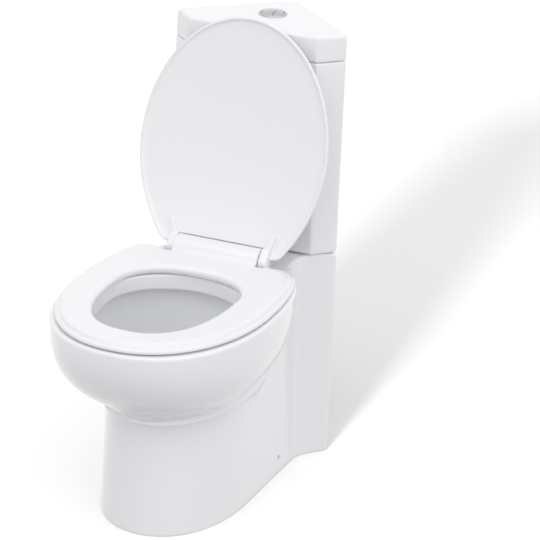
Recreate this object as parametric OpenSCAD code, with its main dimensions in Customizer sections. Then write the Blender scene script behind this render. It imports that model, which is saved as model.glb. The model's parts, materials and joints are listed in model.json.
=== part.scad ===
// Close-coupled corner toilet: ceramic pan and cistern, ring seat with cover, dual flush.
// Origin: centre of the footprint on the floor. +Z up, the bowl points to -Y, the room corner is at +Y.

/* [Pan] */
// Overall length from the rim's front to the rear corner flat
pan_length = 770; // [740:5:800]
// Height of the rim and deck above the floor
pan_height = 402; // [390:2:415]
// Width of the bowl at the rim
bowl_width = 384; // [370:1:395]
// Height at which the bowl's outer curve would close
bowl_base = 210; // [200:1:216]
// Width of the pedestal at the floor
foot_width = 262; // [250:2:275]
// Width of the pedestal's sides under the deck
neck_width = 236; // [228:2:245]
// Width across the wings at the floor
wing_width = 364; // [356:2:370]
// Ceramic wall thickness of the pan
pan_wall = 13; // [11:1:15]
// Thickness of the deck
deck_thick = 16; // [14:1:20]
// Outside diameter of the outlet spigot
outlet_d = 102; // [98:1:104]
// Height of the outlet's centre above the floor
outlet_height = 180; // [175:1:190]

/* [Cistern] */
// Half width of the flat that cuts the rear corner
corner_flat = 17; // [12:1:22]
// Height of the closed cistern above the floor
cistern_top = 823; // [800:1:850]
// Height of the lid
lid_height = 50.5; // [45:0.5:56]
// Depth from the rear flat to the front face
cistern_depth = 197; // [190:1:205]
// Half width of the front face at its foot
face_half_foot = 137; // [130:1:140]
// Half width of the front face at the top
face_half_top = 127; // [120:1:130]
// Ceramic wall thickness of the cistern
tank_wall = 10; // [8:0.5:11]
// Distance between the two coupling bolts
coupling_spacing = 150; // [140:2:156]
// Distance of the fill valve's axis to the side of the centre line
fill_offset = 95; // [88:1:98]

/* [Buttons] */
// Outside diameter of the button bezel
bezel_d = 53; // [48:1:60]
// Press travel of each button
button_travel = 7; // [5:0.5:8]

/* [Seat and cover] */
// Width of the seat ring
seat_width = 373; // [365:1:378]
// Thickness of the seat ring
seat_thick = 16.5; // [15:0.5:18]
// Width of the seat's inner opening
opening_width = 230; // [222:1:236]
// Distance from the hinge axis back to the cistern's face
hinge_to_face = 115; // [114:0.5:118]
// Height of the hinge axis above the deck
hinge_rise = 20; // [19.5:0.1:20.5]
// Distance between the two seat fixing studs
stud_spacing = 140; // [136:1:142]
// Radius of the hinge pins
pin_r = 4.5; // [4:0.1:5]
// Half length of the seat's hinge barrel
barrel_half = 82.5; // [82:0.5:84]
// Width of each lug of the cover
lug_width = 15; // [14:0.5:18]
// Angle at which the cover stands open
cover_open = 103.5; // [100:0.1:103.5]
// Depth of the cover's dish at the middle
cover_depth = 13; // [11:0.5:13.5]

/* [Fixings] */
// Distance from the centre line to each floor bracket's hole
bracket_hole_x = 95; // [92:1:98]
// Radius of each floor bracket's hole
bracket_hole_r = 3.5; // [3:0.1:4]
// Height of the side fixing screws above the floor
side_screw_z = 32; // [28:1:36]

/* [Hidden] */

run_gap = 0.05;      // radial clearance of a turning fit
move_gap = 0.5;      // clearance of pieces that move past each other
seat_lift = 2.5;     // seat ring's underside above the rim
front_y = -pan_length / 2;
rear_y = pan_length / 2;
wall_apex = rear_y + corner_flat;   // the walls lie on y = wall_apex - |x|
face_y = rear_y - cistern_depth;
hinge_y = face_y - hinge_to_face;
along = (hinge_y - front_y) / 458;  // stretch of every station between the rim's front and the hinge
bowl_front = 263 * along;           // bowl length before its widest station
bowl_y = front_y + bowl_front;      // widest station of the bowl
bowl_back = 290 * along;            // bowl curve's length behind it
mid_y = front_y + 334 * along;      // station where the pedestal's sides begin
kink_y = rear_y - 235;              // station where the wings leave the sides
foot_front = 203 * along;           // pedestal length before mid_y at the floor
foot_draft = 6;                     // how far the pedestal's front leans back up to the rim
crease_blend = 5;                   // blend between bowl and pedestal
ledge_z = pan_height * 0.552;
ledge_reach = 11;
ledge_rise = 14;                     // height of the ledge's rounded top
ledge_fade = 15;                    // height over which the ledge runs out down the pedestal
front_steps = 18;
wing_u = [0.12, 0.26, 0.4, 0.54, 0.68, 0.8, 0.9, 0.97, 1];
wall_u = [0.25, 0.5, 0.75, 1];
tank_foot = pan_height + 3;
seam_z = cistern_top - lid_height;
valve_y = rear_y - 100;             // axis of the flush valve, the buttons and the coupling
fill_y = rear_y - 160;
tank_floor = 14;
hinge_z = pan_height + hinge_rise;
seat_foot = pan_height + seat_lift;
seat_top = seat_foot + seat_thick;
seat_mid_y = bowl_y;
seat_rear_y = hinge_y - 3;
seat_tip = bowl_front - 3.5;        // seat length before its widest station
opening_mid_y = hinge_y - 190.5 * along;
opening_tip = 199.5 * along;
opening_tail = 102 * along;
barrel_r = 17;
cover_rim = seat_top + 1;           // underside of the closed cover's lip
cover_tip = front_y + 25;
cover_mid_y = hinge_y - 192 * along;
cover_rear_y = hinge_y - 4;
cover_notch_y = hinge_y - 25;       // front edge of the cover's notch for the barrel
lug_r = 15;
lug_in = barrel_half + 1;
deck_low = pan_height - deck_thick;
stud_x = stud_spacing / 2;
post_half = 4.75;
duct_half = 44;
side_screw_y = kink_y - 63;

// ---------- outlines ----------
function oval_half(half, reach, p, dy) = abs(dy) >= reach ? 0 : half * pow(1 - pow(abs(dy) / reach, p), 1 / p);
function blend_max(a, b, k) = let (h = max(k - abs(a - b), 0) / k) max(a, b) + h * h * k / 4;
function mirror_loop(half) = concat(half, [for (i = [len(half) - 1:-1:0]) if (half[i][0] > 0.001) [-half[i][0], half[i][1]]]);
function raise(loop, z) = [for (p = loop) [p[0], p[1], z]];
function mix(a, b, t) = a + (b - a) * t;

// share of the full bowl size at height z, along its length and across it
function bowl_drop(z) = min(max((pan_height - 2 - z) / (pan_height - 2 - bowl_base), 0), 1);
function bowl_share_long(z) = pow(1 - pow(bowl_drop(z), 2.25), 1 / 1.8);
function bowl_share_wide(z) = pow(1 - pow(bowl_drop(z), 3.3), 1 / 1.8);
// how far the pedestal flares out right under the bowl
function ledge(z) = let (t = min(max((z - ledge_z) / ledge_rise, 0), 1))
    z > ledge_z ? ledge_reach * (1 - t * t * (3 - 2 * t)) : ledge_reach * exp((z - ledge_z) / ledge_fade);
function foot_y(z) = mid_y - foot_front + foot_draft * z / pan_height - ledge(z);
function bowl_tip_y(z) = bowl_y - bowl_front * bowl_share_long(z);
function tip_y(z) = min(foot_y(z), bowl_tip_y(z));
function side_half(y, z) = let (h = z / pan_height, waist = mix(foot_width, neck_width, h) / 2)
    y < mid_y ? oval_half(waist + ledge(z) * 0.8, mid_y - foot_y(z), 2.13, mid_y - y) :
    waist + ledge(z) * 0.8 * max(1 - (y - mid_y) / 90, 0) + mix(5, 1, h) * (min(y, kink_y) - mid_y) / (kink_y - mid_y);
function bowl_half(y, z) = y < bowl_y ?
    oval_half(bowl_width / 2 * bowl_share_wide(z), bowl_front * bowl_share_long(z), 2.25, bowl_y - y) :
    oval_half(bowl_width / 2 * bowl_share_wide(z), bowl_back * bowl_share_long(z), 2.34, y - bowl_y);
function body_half(y, z) = let (a = side_half(y, z), b = bowl_half(y, z))
    a == 0 ? b : b == 0 ? a : blend_max(a, b, min(crease_blend, a, b));
function wing_x(z) = wing_width / 2 - 5.5 * z / pan_height;
function wing_half(u, z) = let (start = side_half(kink_y, z) )
    start + (wing_x(z) - start) * pow(u, mix(1.6, 2.6, z / pan_height));

// right half of the pan's outline at height z, drawn in by d
function pan_half_outline(z, d, with_bowl) = let (tip = with_bowl ? tip_y(z) : foot_y(z), wing_y = wall_apex - wing_x(z))
    concat(
        [[0, tip + d]],
        [for (i = [1:front_steps]) let (y = mid_y - (mid_y - tip) * pow(cos(90 * i / front_steps), 0.94))
            [max((with_bowl ? body_half(y, z) : side_half(y, z)) - d, 0.5 * i), max(y, tip + d + 0.02 * i)]],
        [for (k = [1:9]) let (y = mix(mid_y, kink_y, k / 9)) [(with_bowl ? body_half(y, z) : side_half(y, z)) - d, y]],
        [for (u = wing_u) [wing_half(u, z) - d * mix(1, 0.8, u), mix(kink_y, wing_y, u) + d * 0.4 * u]],
        [for (w = wall_u) let (y = mix(wing_y, rear_y, w) - d * mix(0, 1, w)) [wall_apex - d * 1.414 - y, y]],
        [[0, rear_y - d]]);
function pan_loop(z, d) = raise(mirror_loop(pan_half_outline(z, d, true)), z);
// oval with its own front and rear reach; as many points as the pan's outline
function oval_loop(half, y_front, y_rear, y_wide, z, n) = [for (i = [0:n - 1]) let (a = 360 * i / n)
    [half * sin(a), cos(a) > 0 ? y_wide - (y_wide - y_front) * cos(a) : y_wide - (y_rear - y_wide) * cos(a), z]];

// right half of the cistern's outline: front corner, wall corner, rear corner
function tank_corners(face_half, d) = let (apex = wall_apex - d * 1.41421, front = face_y + d,
        k = face_half - face_y - d * 1.41421, rear = rear_y - d)
    [[k + front, front], [(apex + k) / 2, (apex - k) / 2], [apex - rear, rear]];
function round_corner(a, b, c, r, n) = let (u = (a - b) / norm(a - b), v = (c - b) / norm(c - b),
        half = acos(u * v) / 2, reach = min(r / tan(half), norm(a - b) * 0.45, norm(c - b) * 0.45), rr = reach * tan(half),
        m = b + (u + v) / norm(u + v) * rr / sin(half), s = b + u * reach - m, e = b + v * reach - m,
        turn = 180 - 2 * half, side = s[0] * e[1] - s[1] * e[0] > 0 ? 1 : -1)
    [for (i = [0:n]) let (t = side * turn * i / n) m + [s[0] * cos(t) - s[1] * sin(t), s[0] * sin(t) + s[1] * cos(t)]];
function tank_loop(face_half, d, r, z) = let (c = tank_corners(face_half, d), f = [0, c[0][1]], b = [0, c[2][1]])
    raise(mirror_loop(concat(round_corner(f, c[0], c[1], max(r - d, 1.5), 4),
        round_corner(c[0], c[1], c[2], max(r - d, 1.5), 5), round_corner(c[1], c[2], b, max(6 - d, 1.5), 3))), z);
function face_half_at(z) = mix(face_half_foot, face_half_top, (z - tank_foot) / (cistern_top - tank_foot));

// ---------- solids from loops ----------
function wall_faces(a, b, n) = [for (i = [0:n - 1]) let (j = (i + 1) % n) [a + i, a + j, b + j, b + i]];
module tris(quads, points, faces) {
    // each wall quad as two triangles
    polyhedron(points, concat([for (q = quads) [q[0], q[2], q[1]]], [for (q = quads) [q[0], q[3], q[2]]], faces),
        convexity = 12);
}

// closed solid through loops given from the bottom up, with flat ends
module loft(loops) {
    n = len(loops[0]);
    points = [for (l = loops) each l];
    last = (len(loops) - 1) * n;
    tris([for (k = [0:len(loops) - 2]) each wall_faces(k * n, (k + 1) * n, n)], points,
        [[for (i = [0:n - 1]) i], [for (i = [n - 1:-1:0]) last + i]]);
}

// cup: outer loops from the bottom up, then inner loops from the top down, with flat ends
module cup(outer, inner) { loft(concat(outer, inner)); }

// ring swept round: section k of every station is a point; both lists wrap
module torus_skin(stations) {
    n = len(stations);
    m = len(stations[0]);
    points = [for (s = stations) each s];
    quads = [for (i = [0:n - 1]) for (k = [0:m - 1]) let (i2 = (i + 1) % n, k2 = (k + 1) % m)
        [i * m + k, i2 * m + k, i2 * m + k2, i * m + k2]];
    tris(quads, points, []);
}

module tube(r_out, r_in, h) {
    difference() {
        cylinder(h = h, r = r_out, $fn = 64);
        translate([0, 0, -1]) cylinder(h = h + 2, r = r_in, $fn = 64);
    }
}

// straight round bar from a to b
module bar(a, b, r, fn = 64) {
    v = b - a;
    translate(a) rotate([0, acos(v[2] / norm(v)), atan2(v[1], v[0])]) cylinder(h = norm(v), r = r, $fn = fn);
}

module wing_nut(r_bore) {
    difference() {
        union() {
            cylinder(h = 12, r = 11, $fn = 48);
            translate([-19, -2.5, 0]) cube([38, 5, 10]);
        }
        translate([0, 0, -1]) cylinder(h = 14, r = r_bore, $fn = 32);
    }
}

// ---------- pan ----------
// height and inset of every outline of the outside
outer_rows = [[0, 2], [4, 0], [45, 0], [115, 0], [172, 0], [195, 0], [208, 0], [216, 0], [222, 0], [226, 0], [230, 0],
    [235, 0], [241, 0], [248, 0], [258, 0], [270, 0], [284, 0], [304, 0], [328, 0], [356, 0], [390, 0], [397, 0.4],
    [400.5, 2], [402, 5]];
pan_n = len(mirror_loop(pan_half_outline(0, 0, true)));
sump = [0, bowl_y + 57 * along];
// inside of the bowl: half width, front and rear from the rim's front, depth under the rim
bowl_inside = [
    [opening_width / 2 + 13, 54, 383, 0],
    [opening_width / 2 + 9, 58, 379, 4],
    [opening_width / 2 + 9, 58, 379, 30],
    [147, 36, 405, 31],
    [151, 32, 408, 40],
    [150, 33, 407, 58],
    [143, 56, 402, 92],
    [130, 86, 396, 125],
    [112, 120, 390, 156],
    [90, 156, 385, 183],
    [70, 191, 379, 206],
    [54, 223, 373, 226],
    [42, 255, 365, 242],
    [30, 277, 351, 250]];
bowl_n = 56;
bowl_wall = 11;
function bowl_inner_loop(b, d, lift) = oval_loop(b[0] + d, front_y + b[1] * along - d, front_y + b[2] * along + d,
    mix(bowl_y + 5, sump[1], min(b[3] / 250, 1)), pan_height - b[3] + lift, bowl_n);
under_z = [-1, 30, 95, 150, 190, 208, 225, 250, 285, 330, 372, deck_low];

// solid filled by the bowl's water and air; grown by d for the shell round it
module bowl_space(d) loft([for (k = [len(bowl_inside) - 1:-1:0]) bowl_inner_loop(bowl_inside[k], d, k == 0 ? 1 - 4 * d : k < 3 ? -0.5 * d : -d)]);
module bowl_shell() loft([for (k = [len(bowl_inside) - 1:-1:3]) bowl_inner_loop(bowl_inside[k], bowl_wall, k == 3 ? bowl_wall : -bowl_wall * 0.8)]);
module rim_shell() loft([for (z = [pan_height - 50, deck_low + 1]) oval_loop(opening_width / 2 + 9 + bowl_wall,
    front_y + 58 * along - bowl_wall, front_y + 379 * along + bowl_wall, bowl_y + 5, z, bowl_n)]);
module pan_outside() loft([for (q = outer_rows) pan_loop(q[0] * pan_height / 402, q[1])]);
module pan_hollow() loft([for (z = under_z) raise(mirror_loop(pan_half_outline(max(z, 0), pan_wall, true)), z)]);

trap_in = [0, sump[1] + 5, 192];
trap_top = [0, rear_y - 305, 246];
trap_out = [0, rear_y - 235, outlet_height];
spigot_end = [0, rear_y - 85, outlet_height];
trap_r = 36;
pipe_arch = outlet_d / 2 + 21;       // half width of the arch behind the outlet
spigot_joint = spigot_end[1] - 60;
// casting without its machined holes: shell, trap, water duct
module pan_casting() resize([0, 0, 0]) difference() {
    union() {
        difference() {
            pan_outside();
            pan_hollow();
        }
        bowl_shell();
        rim_shell();
        bar(trap_in, trap_top, trap_r + 9, 32);
        translate(trap_top) sphere(r = trap_r + 8.9, $fn = 32);
        translate(trap_out) sphere(r = trap_r + 10, $fn = 32);
        bar(trap_top, trap_out, trap_r + 9, 32);
        bar(trap_out - [0, 20, 0], [0, spigot_joint + 5, outlet_height], outlet_d / 2 - 2, 32);
        translate([-duct_half, 34, pan_height - 52]) cube([duct_half * 2, valve_y + 40 - 34, 52 - deck_thick / 2]);
    }
    bowl_space(0);
    bar(trap_in, trap_top, trap_r, 32);
    translate(trap_top) sphere(r = trap_r - 0.1, $fn = 32);
    translate(trap_out) sphere(r = trap_r + 3.5, $fn = 32);
    bar(trap_top, trap_out, trap_r, 32);
    bar(trap_out, [0, spigot_joint + 6, outlet_height], outlet_d / 2 - 11, 32);
    translate([-duct_half + 8, 42, pan_height - 44]) cube([duct_half * 2 - 16, valve_y + 32 - 42, 44 - deck_thick]);
    translate([-24, 10, pan_height - 42]) cube([48, 40, 12]);
    for (s = [-1, 1]) bar([s * (foot_width / 2 - 30), side_screw_y, side_screw_z],
        [s * (foot_width / 2 + 30), side_screw_y, side_screw_z], 4.3, 32);
    // arch in the back for the waste pipe and the water supply
    bar(spigot_end, spigot_end + [0, 120, 0], pipe_arch, 48);
    translate([-pipe_arch, spigot_end[1], -1]) cube([pipe_arch * 2, 120, outlet_height + 1]);
}
module pan() color("white") difference() {
    union() {
        pan_casting();
        difference() {
            bar([0, spigot_joint, outlet_height], spigot_end, outlet_d / 2);
            bar([0, spigot_joint - 1, outlet_height], spigot_end + [0, 1, 0], outlet_d / 2 - 10);
        }
    }
    translate([0, valve_y, deck_low - 1]) cylinder(h = deck_thick + 2, r = 32, $fn = 64);
    for (s = [-1, 1]) {
        translate([s * coupling_spacing / 2, valve_y, deck_low - 1]) cylinder(h = deck_thick + 2, r = 6, $fn = 32);
        translate([s * stud_x, hinge_y, deck_low - 1]) cylinder(h = deck_thick + 2, r = 7, $fn = 32);
    }
    translate([-fill_offset, fill_y, deck_low - 1]) cylinder(h = deck_thick + 2, r = 20, $fn = 48);
}

// ---------- cistern ----------
module cistern_tank() color("white") difference() {
    cup([for (z = [[tank_foot, 1.5], [tank_foot + 2, 0], [mix(tank_foot, seam_z, 0.5), 0], [seam_z - 1.5, 0], [seam_z, 1]])
            tank_loop(face_half_at(z[0]), z[1], 8, z[0])],
        [for (z = [[seam_z, tank_wall - 1], [seam_z - 2, tank_wall], [tank_foot + tank_floor + 6, tank_wall],
            [tank_foot + tank_floor, tank_wall + 5]]) tank_loop(face_half_at(z[0]), z[1], 8, z[0])]);
    translate([0, valve_y, tank_foot - 1]) cylinder(h = tank_floor + 2, r = 31, $fn = 64);
    for (s = [-1, 1]) translate([s * coupling_spacing / 2, valve_y, tank_foot - 1])
        cylinder(h = tank_floor + 2, r = 6, $fn = 32);
    translate([-fill_offset, fill_y, tank_foot - 1]) cylinder(h = tank_floor + 2, r = 12, $fn = 48);
}

lid_gap = 0.6;
module cistern_lid() color("white") difference() {
    loft(concat(
        [tank_loop(face_half_at(seam_z), 1, 8, seam_z + lid_gap)],
        [for (z = [[seam_z + 2.5, 0], [cistern_top - 5, 0.4], [cistern_top - 2.2, 1.3], [cistern_top - 0.6, 3.4],
            [cistern_top, 6]]) tank_loop(face_half_at(z[0]), z[1], 9, z[0])],
        []));
    // hollow underside with a lip that drops into the tank
    translate([0, 0, 0]) loft([for (z = [[seam_z - 1, 20], [cistern_top - 12, 20]])
        tank_loop(face_half_at(seam_z), z[1], 8, z[0])]);
    translate([0, valve_y, cistern_top - 20]) cylinder(h = 30, r = bezel_d / 2 - 5, $fn = 64);
}

// ---------- buttons ----------
button_r = bezel_d / 2 - 5.5;
module button_bezel() color("silver") translate([0, valve_y, 0]) difference() {
    union() {
        translate([0, 0, cistern_top]) rotate_extrude($fn = 96)
            polygon([[bezel_d / 2 - 7, 0], [bezel_d / 2, 0], [bezel_d / 2 - 0.4, 1.6], [bezel_d / 2 - 2, 3], [bezel_d / 2 - 4, 3.6],
                [bezel_d / 2 - 5.1, 3.4], [bezel_d / 2 - 5.1, 1]]);
        translate([0, 0, cistern_top - 32]) cylinder(h = 34, r = bezel_d / 2 - 5.1, $fn = 96);
    }
    translate([0, 0, cistern_top - 33]) cylinder(h = 50, r = button_r - 1.9, $fn = 96);
    translate([0, 0, cistern_top - 20]) cylinder(h = 50, r = button_r, $fn = 96);
}
module button_nut() color("ivory") translate([0, valve_y, cistern_top - 12 - 9]) tube(bezel_d / 2 + 3, bezel_d / 2 - 5.1, 8.7);

split_x = 6;       // the split between the two buttons, to the right of the middle
module half_button(is_full) {
    translate([0, valve_y, 0]) {
        intersection() {
            translate([0, 0, cistern_top - 10]) rotate_extrude($fn = 96) polygon([[0, 0], [button_r - move_gap, 0],
                [button_r - move_gap, 13], [button_r - 3, 14.6], [button_r * 0.6, 16.3], [button_r * 0.3, 17], [0, 17.2]]);
            translate([is_full ? -60 : split_x + 0.4, -60, cistern_top - 30]) cube([is_full ? 60 + split_x - 0.4 : 60, 120, 60]);
        }
        // push rod down to the valve
        translate([is_full ? -6 : 12, 0, rod_foot]) cylinder(h = cistern_top - 9.5 - rod_foot, r = 2.5, $fn = 24);
    }
}
valve_head = tank_foot + tank_floor + 268;
rod_foot = valve_head + button_travel + 1.5;
module full_flush_button() color("silver") half_button(true);
module half_flush_button() color("silver") half_button(false);

// ---------- flush valve ----------
floor_z = tank_foot + tank_floor;
module flush_valve_body() color("ivory") translate([0, valve_y, 0]) {
    difference() {
        union() {
            translate([0, 0, pan_height - 6]) cylinder(h = floor_z - pan_height + 6.3, r = 30, $fn = 64);
            translate([0, 0, floor_z + 2]) cylinder(h = 6, r = 42, $fn = 64);
            translate([0, 0, floor_z + 7]) cylinder(h = valve_head - floor_z - 7, r = 33, $fn = 64);
            translate([0, 0, floor_z]) cylinder(h = 3, r = 30, $fn = 64);
        }
        translate([0, 0, pan_height - 7]) cylinder(h = floor_z - pan_height + 18, r = 26, $fn = 64);
        translate([0, 0, floor_z + 8]) cylinder(h = valve_head - floor_z - 12, r = 29, $fn = 64);
        // windows that let the water in
        for (a = [0:90:270]) rotate([0, 0, a + 45]) translate([20, -12, floor_z + 12]) cube([30, 24, 60]);
        // head with an opening for the piston's stem and the rods
        translate([0, 0, valve_head - 6]) cylinder(h = 8, r = 20, $fn = 48);
    }
}
module flush_valve_piston() color("lightgray") translate([0, valve_y, 0]) {
    translate([0, 0, floor_z + 11.3]) cylinder(h = 8, r = 28.4, $fn = 64);
    translate([0, 0, floor_z + 19]) tube(16, 12, valve_head - floor_z - 60);
}
module flush_valve_seal() color("dimgray") translate([0, valve_y, floor_z + 8.3]) tube(28.6, 20, 3);
module tank_washer() color("dimgray") translate([0, valve_y, floor_z]) tube(44, 30.3, 2);
module flush_valve_nut() color("ivory") translate([0, valve_y, pan_height - 4]) tube(31.5, 30, 6.7);
module coupling_gasket() color("dimgray") translate([0, valve_y, pan_height]) tube(58, 34, 3);

// ---------- coupling bolts ----------
module pair_on_coupling(z) for (s = [-1, 1]) translate([s * coupling_spacing / 2, valve_y, z]) children();
module coupling_bolts() color("gray") pair_on_coupling(deck_low - 34) {
    cylinder(h = floor_z + 3 - deck_low + 34, r = 4, $fn = 32);
    translate([0, 0, floor_z + 3 - deck_low + 34]) cylinder(h = 4, r = 8, $fn = 6);
}
module coupling_washers() color("dimgray") pair_on_coupling(floor_z) tube(13, 4, 3);
module coupling_wing_nuts() color("goldenrod") pair_on_coupling(deck_low - 12.3) wing_nut(4);

// ---------- fill valve ----------
module at_fill(z) translate([-fill_offset, fill_y, z]) children();
fill_head = floor_z + 236;
tail_length = 30;
tail_r = 10.48;      // inlet thread
shank_r = 9.9;       // plain shank through the tank's floor
arm_y = fill_y + 18.3;
arm_z = fill_head + 8;
arm_pivot_x = 6 - fill_offset;
arm_reach = 28;
float_low = fill_head - 70;
module fill_valve_body() color("ivory") difference() {
    union() {
        at_fill(pan_height - 58) cylinder(h = tail_length, r = tail_r, $fn = 48);
        at_fill(pan_height - 58) cylinder(h = floor_z - pan_height + 60, r = shank_r, $fn = 48);
        at_fill(floor_z + 2.5) cylinder(h = 5, r = 17, $fn = 48);
        at_fill(floor_z + 3) cylinder(h = fill_head - floor_z - 3, r = 11, $fn = 48);
        at_fill(float_low - 3) cylinder(h = 2.7, r = 15, $fn = 48);
        at_fill(fill_head - 2) cylinder(h = 22, r = 17, $fn = 48);
        translate([arm_pivot_x - 5, fill_y + 8, arm_z - 5]) cube([10, 10, 10]);
    }
    at_fill(pan_height - 59) cylinder(h = 150, r = 5, $fn = 32);
    translate([arm_pivot_x, fill_y + 19, arm_z]) rotate([90, 0, 0]) cylinder(h = 9, r = 1.6, $fn = 24);
}
module fill_valve_washer() color("dimgray") at_fill(floor_z) tube(17, 10.6, 2.5);
module fill_valve_nut() color("ivory") at_fill(tank_foot - 10.3) tube(16, shank_r, 10);
module fill_float() color("gray") {
    at_fill(float_low) difference() {
        union() {
            cylinder(h = 40, r = 26, $fn = 64);
            translate([16, 8, 36]) cube([12, 16, 4]);
        }
        translate([0, 0, -1]) cylinder(h = 50, r = 11.5, $fn = 48);
        translate([0, 0, -1]) cylinder(h = 35, r = 20, $fn = 48);
    }
    // rod that lifts the arm
    translate([arm_pivot_x + arm_reach - 8, arm_y + 1.5, float_low + 39]) cylinder(h = arm_z - 5 - float_low - 39, r = 1.5, $fn = 24);
}
module float_arm() color("lightgray") {
    translate([arm_pivot_x, arm_y + 3, arm_z]) rotate([90, 0, 0]) cylinder(h = 3, r = 5, $fn = 32);
    translate([arm_pivot_x, arm_y, arm_z - 3]) cube([arm_reach - 6, 3, 6]);
    translate([arm_pivot_x, arm_y + 1, arm_z]) rotate([90, 0, 0]) cylinder(h = 9, r = 1.55, $fn = 24);
}

// ---------- seat ----------
seat_n = 96;
seat_shoulder = 22;    // reach of the rounded rear corners
function seat_outer(a, d) = let (c = cos(a), s = sin(a), half = seat_width / 2 - d,
        x = half * sign(s) * pow(abs(s), c > 0 ? 0.945 : 0.86),
        y = c > 0 ? seat_mid_y - (seat_tip - d) * pow(c, 0.945) : seat_mid_y + (300 * along - d) * pow(-c, 0.86),
        lim = seat_rear_y - d, over = y - (lim - seat_shoulder))
    [x, over > 0 ? lim - seat_shoulder * exp(-over / seat_shoulder) : y];
function seat_inner(a, d) = let (c = cos(a), s = sin(a))
    [(opening_width / 2 + d) * sign(s) * pow(abs(s), 0.84),
     opening_mid_y - (c > 0 ? opening_tip + d : opening_tail + d) * sign(c) * pow(abs(c), 0.84)];
// section of the ring: from which edge, how far in, height over the foot
seat_section = [[0, 3, 0], [0, 0.6, 1.2], [0, 0, 3.5], [0, 0.8, 6.2], [0, 2.6, 7.6], [0, 3.2, 9], [0, 3.6, 12.5], [0, 5, 15.2],
    [0, 8, 16.5], [1, 9, 16.5], [1, 3.5, 15.6], [1, 0.6, 12.5], [1, 0, 8], [1, 1, 2], [1, 4, 0]];
module seat_skin() torus_skin([for (i = [0:seat_n - 1]) let (a = 360 * i / seat_n)
    [for (k = [0:len(seat_section) - 1]) let (q = seat_section[k], p = q[0] == 0 ? seat_outer(a, q[1]) : seat_inner(a, q[1]))
        [p[0], p[1], seat_foot + q[2] * seat_thick / 16.5]]]);

// along the hinge axis from x = a to x = b
module on_axis(a, b, r, fn = 64) translate([a, hinge_y, hinge_z]) rotate([0, 90, 0]) cylinder(h = b - a, r = r, $fn = fn);
module barrel_bar(y, z, r) translate([-barrel_half, y, z]) rotate([0, 90, 0]) cylinder(h = barrel_half * 2, r = r, $fn = 32);
post_in = stud_x - 5.5;
post_out = barrel_half - 7;
module seat_ring() color("white") difference() {
    union() {
        seat_skin();
        hull() {
            barrel_bar(hinge_y, hinge_z, barrel_r);
            barrel_bar(hinge_y - 8, hinge_z + 15, 6.8);
            barrel_bar(hinge_y, hinge_z + 19.8, 4);
            barrel_bar(hinge_y + 8, hinge_z + 17.8, 4);
            barrel_bar(hinge_y - 23, seat_top - 5.5, 5.3);
            barrel_bar(hinge_y - 32, seat_foot + 4, 4);
        }
    }
    for (s = [0, 1]) mirror([s, 0, 0]) {
        on_axis(post_in - 1, post_out + 0.5, 13);
        // way for the post from below round to the back
        translate([post_in - 1, hinge_y, hinge_z]) rotate([90, 0, 90]) linear_extrude(post_out + 1.5 - post_in)
            polygon([[0, 0], for (a = [-132:12:48]) 34 * [cos(a), sin(a)]]);
        on_axis(post_out, barrel_half + 1, pin_r + run_gap);
        // pocket for the cover's lug
        hull() {
            on_axis(barrel_half, lug_in + lug_width + 1.5, lug_r + 0.9);
            translate([barrel_half, cover_notch_y - 0.5, hinge_z - 4.5]) cube([lug_width + 2.5, 4, 14]);
        }
        on_axis(20, post_in, damper_r + 0.15);
    }
    for (p = buffer_spots) translate([p[0], p[1], seat_foot - 1]) cylinder(h = 4, r = 6, $fn = 32);
}
damper_r = 8;
buffer_spots = [for (s = [-1, 1]) each [[145 * s, hinge_y - 130 * along], [95 * s, hinge_y - 400 * along]]];
module seat_buffers() color("lightgray") for (p = buffer_spots)
    translate([p[0], p[1], pan_height + 0.3]) cylinder(h = seat_lift + 2.7, r = 6, $fn = 32);

// ---------- cover, drawn closed and then turned up ----------
cover_n = 96;
function cover_edge(a, d) = let (c = cos(a), s = sin(a), half = seat_width / 2 - 3 - d,
        x = half * sign(s) * pow(abs(s), c > 0 ? 1 : 1.07),
        y = c > 0 ? cover_mid_y - (cover_mid_y - cover_tip - d) * c : cover_mid_y + (249 * along - d) * pow(-c, 1.07),
        lim = cover_rear_y - d, over = y - (lim - 9))
    [x, over > 0 ? lim - 9 * exp(-over / 9) : y];
function cover_loop(d, h) = [for (i = [0:cover_n - 1]) let (p = cover_edge(360 * i / cover_n, d)) [p[0], p[1], cover_rim + h]];
function cover_flat_loop(f, h) = [for (i = [0:cover_n - 1]) let (p = cover_edge(360 * i / cover_n, 40))
    [p[0] * f, cover_mid_y + 10 + (p[1] - cover_mid_y - 10) * f, cover_rim + h]];
cover_skin_out = [[1.5, 0], [0.2, 1.5], [0, 3.5], [1.4, 5.8], [5, 7.2], [20, 8.2], [40, 9]];
cover_skin_in = [[40, 5], [24, 4.2], [11, 3.2], [6.5, 2], [4.5, 0]];
module cover_dish() {
    // outside of the lip, over the top, then back down the inside
    loft(concat(
        [cover_flat_loop(0.12, cover_depth - 4), cover_flat_loop(0.45, cover_depth - 4.8), cover_flat_loop(0.78, 6.6)],
        [for (q = cover_skin_in) cover_loop(q[0], q[1])],
        [for (q = cover_skin_out) cover_loop(q[0], q[1])],
        [cover_flat_loop(0.78, 10.6), cover_flat_loop(0.45, cover_depth - 0.8), cover_flat_loop(0.12, cover_depth)]));
}
module cover_lug() {
    difference() {
        union() {
            on_axis(lug_in, lug_in + lug_width, lug_r);
            hull() {
                on_axis(lug_in, lug_in + lug_width, lug_r - 0.5);
                translate([lug_in, cover_notch_y + 1, hinge_z - 3]) cube([lug_width, 4, 10]);
            }
            // rib that carries the knuckle up the inside of the dish
            hull() {
                translate([lug_in, cover_notch_y + 1, cover_rim + 0.6]) cube([lug_width, 4, 7]);
                translate([lug_in + 12, cover_notch_y - 25, cover_rim + 0.6]) cube([13, 4, 5]);
            }
        }
        on_axis(lug_in - 1, lug_in + lug_width - 4, pin_r + run_gap);
    }
}
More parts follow.
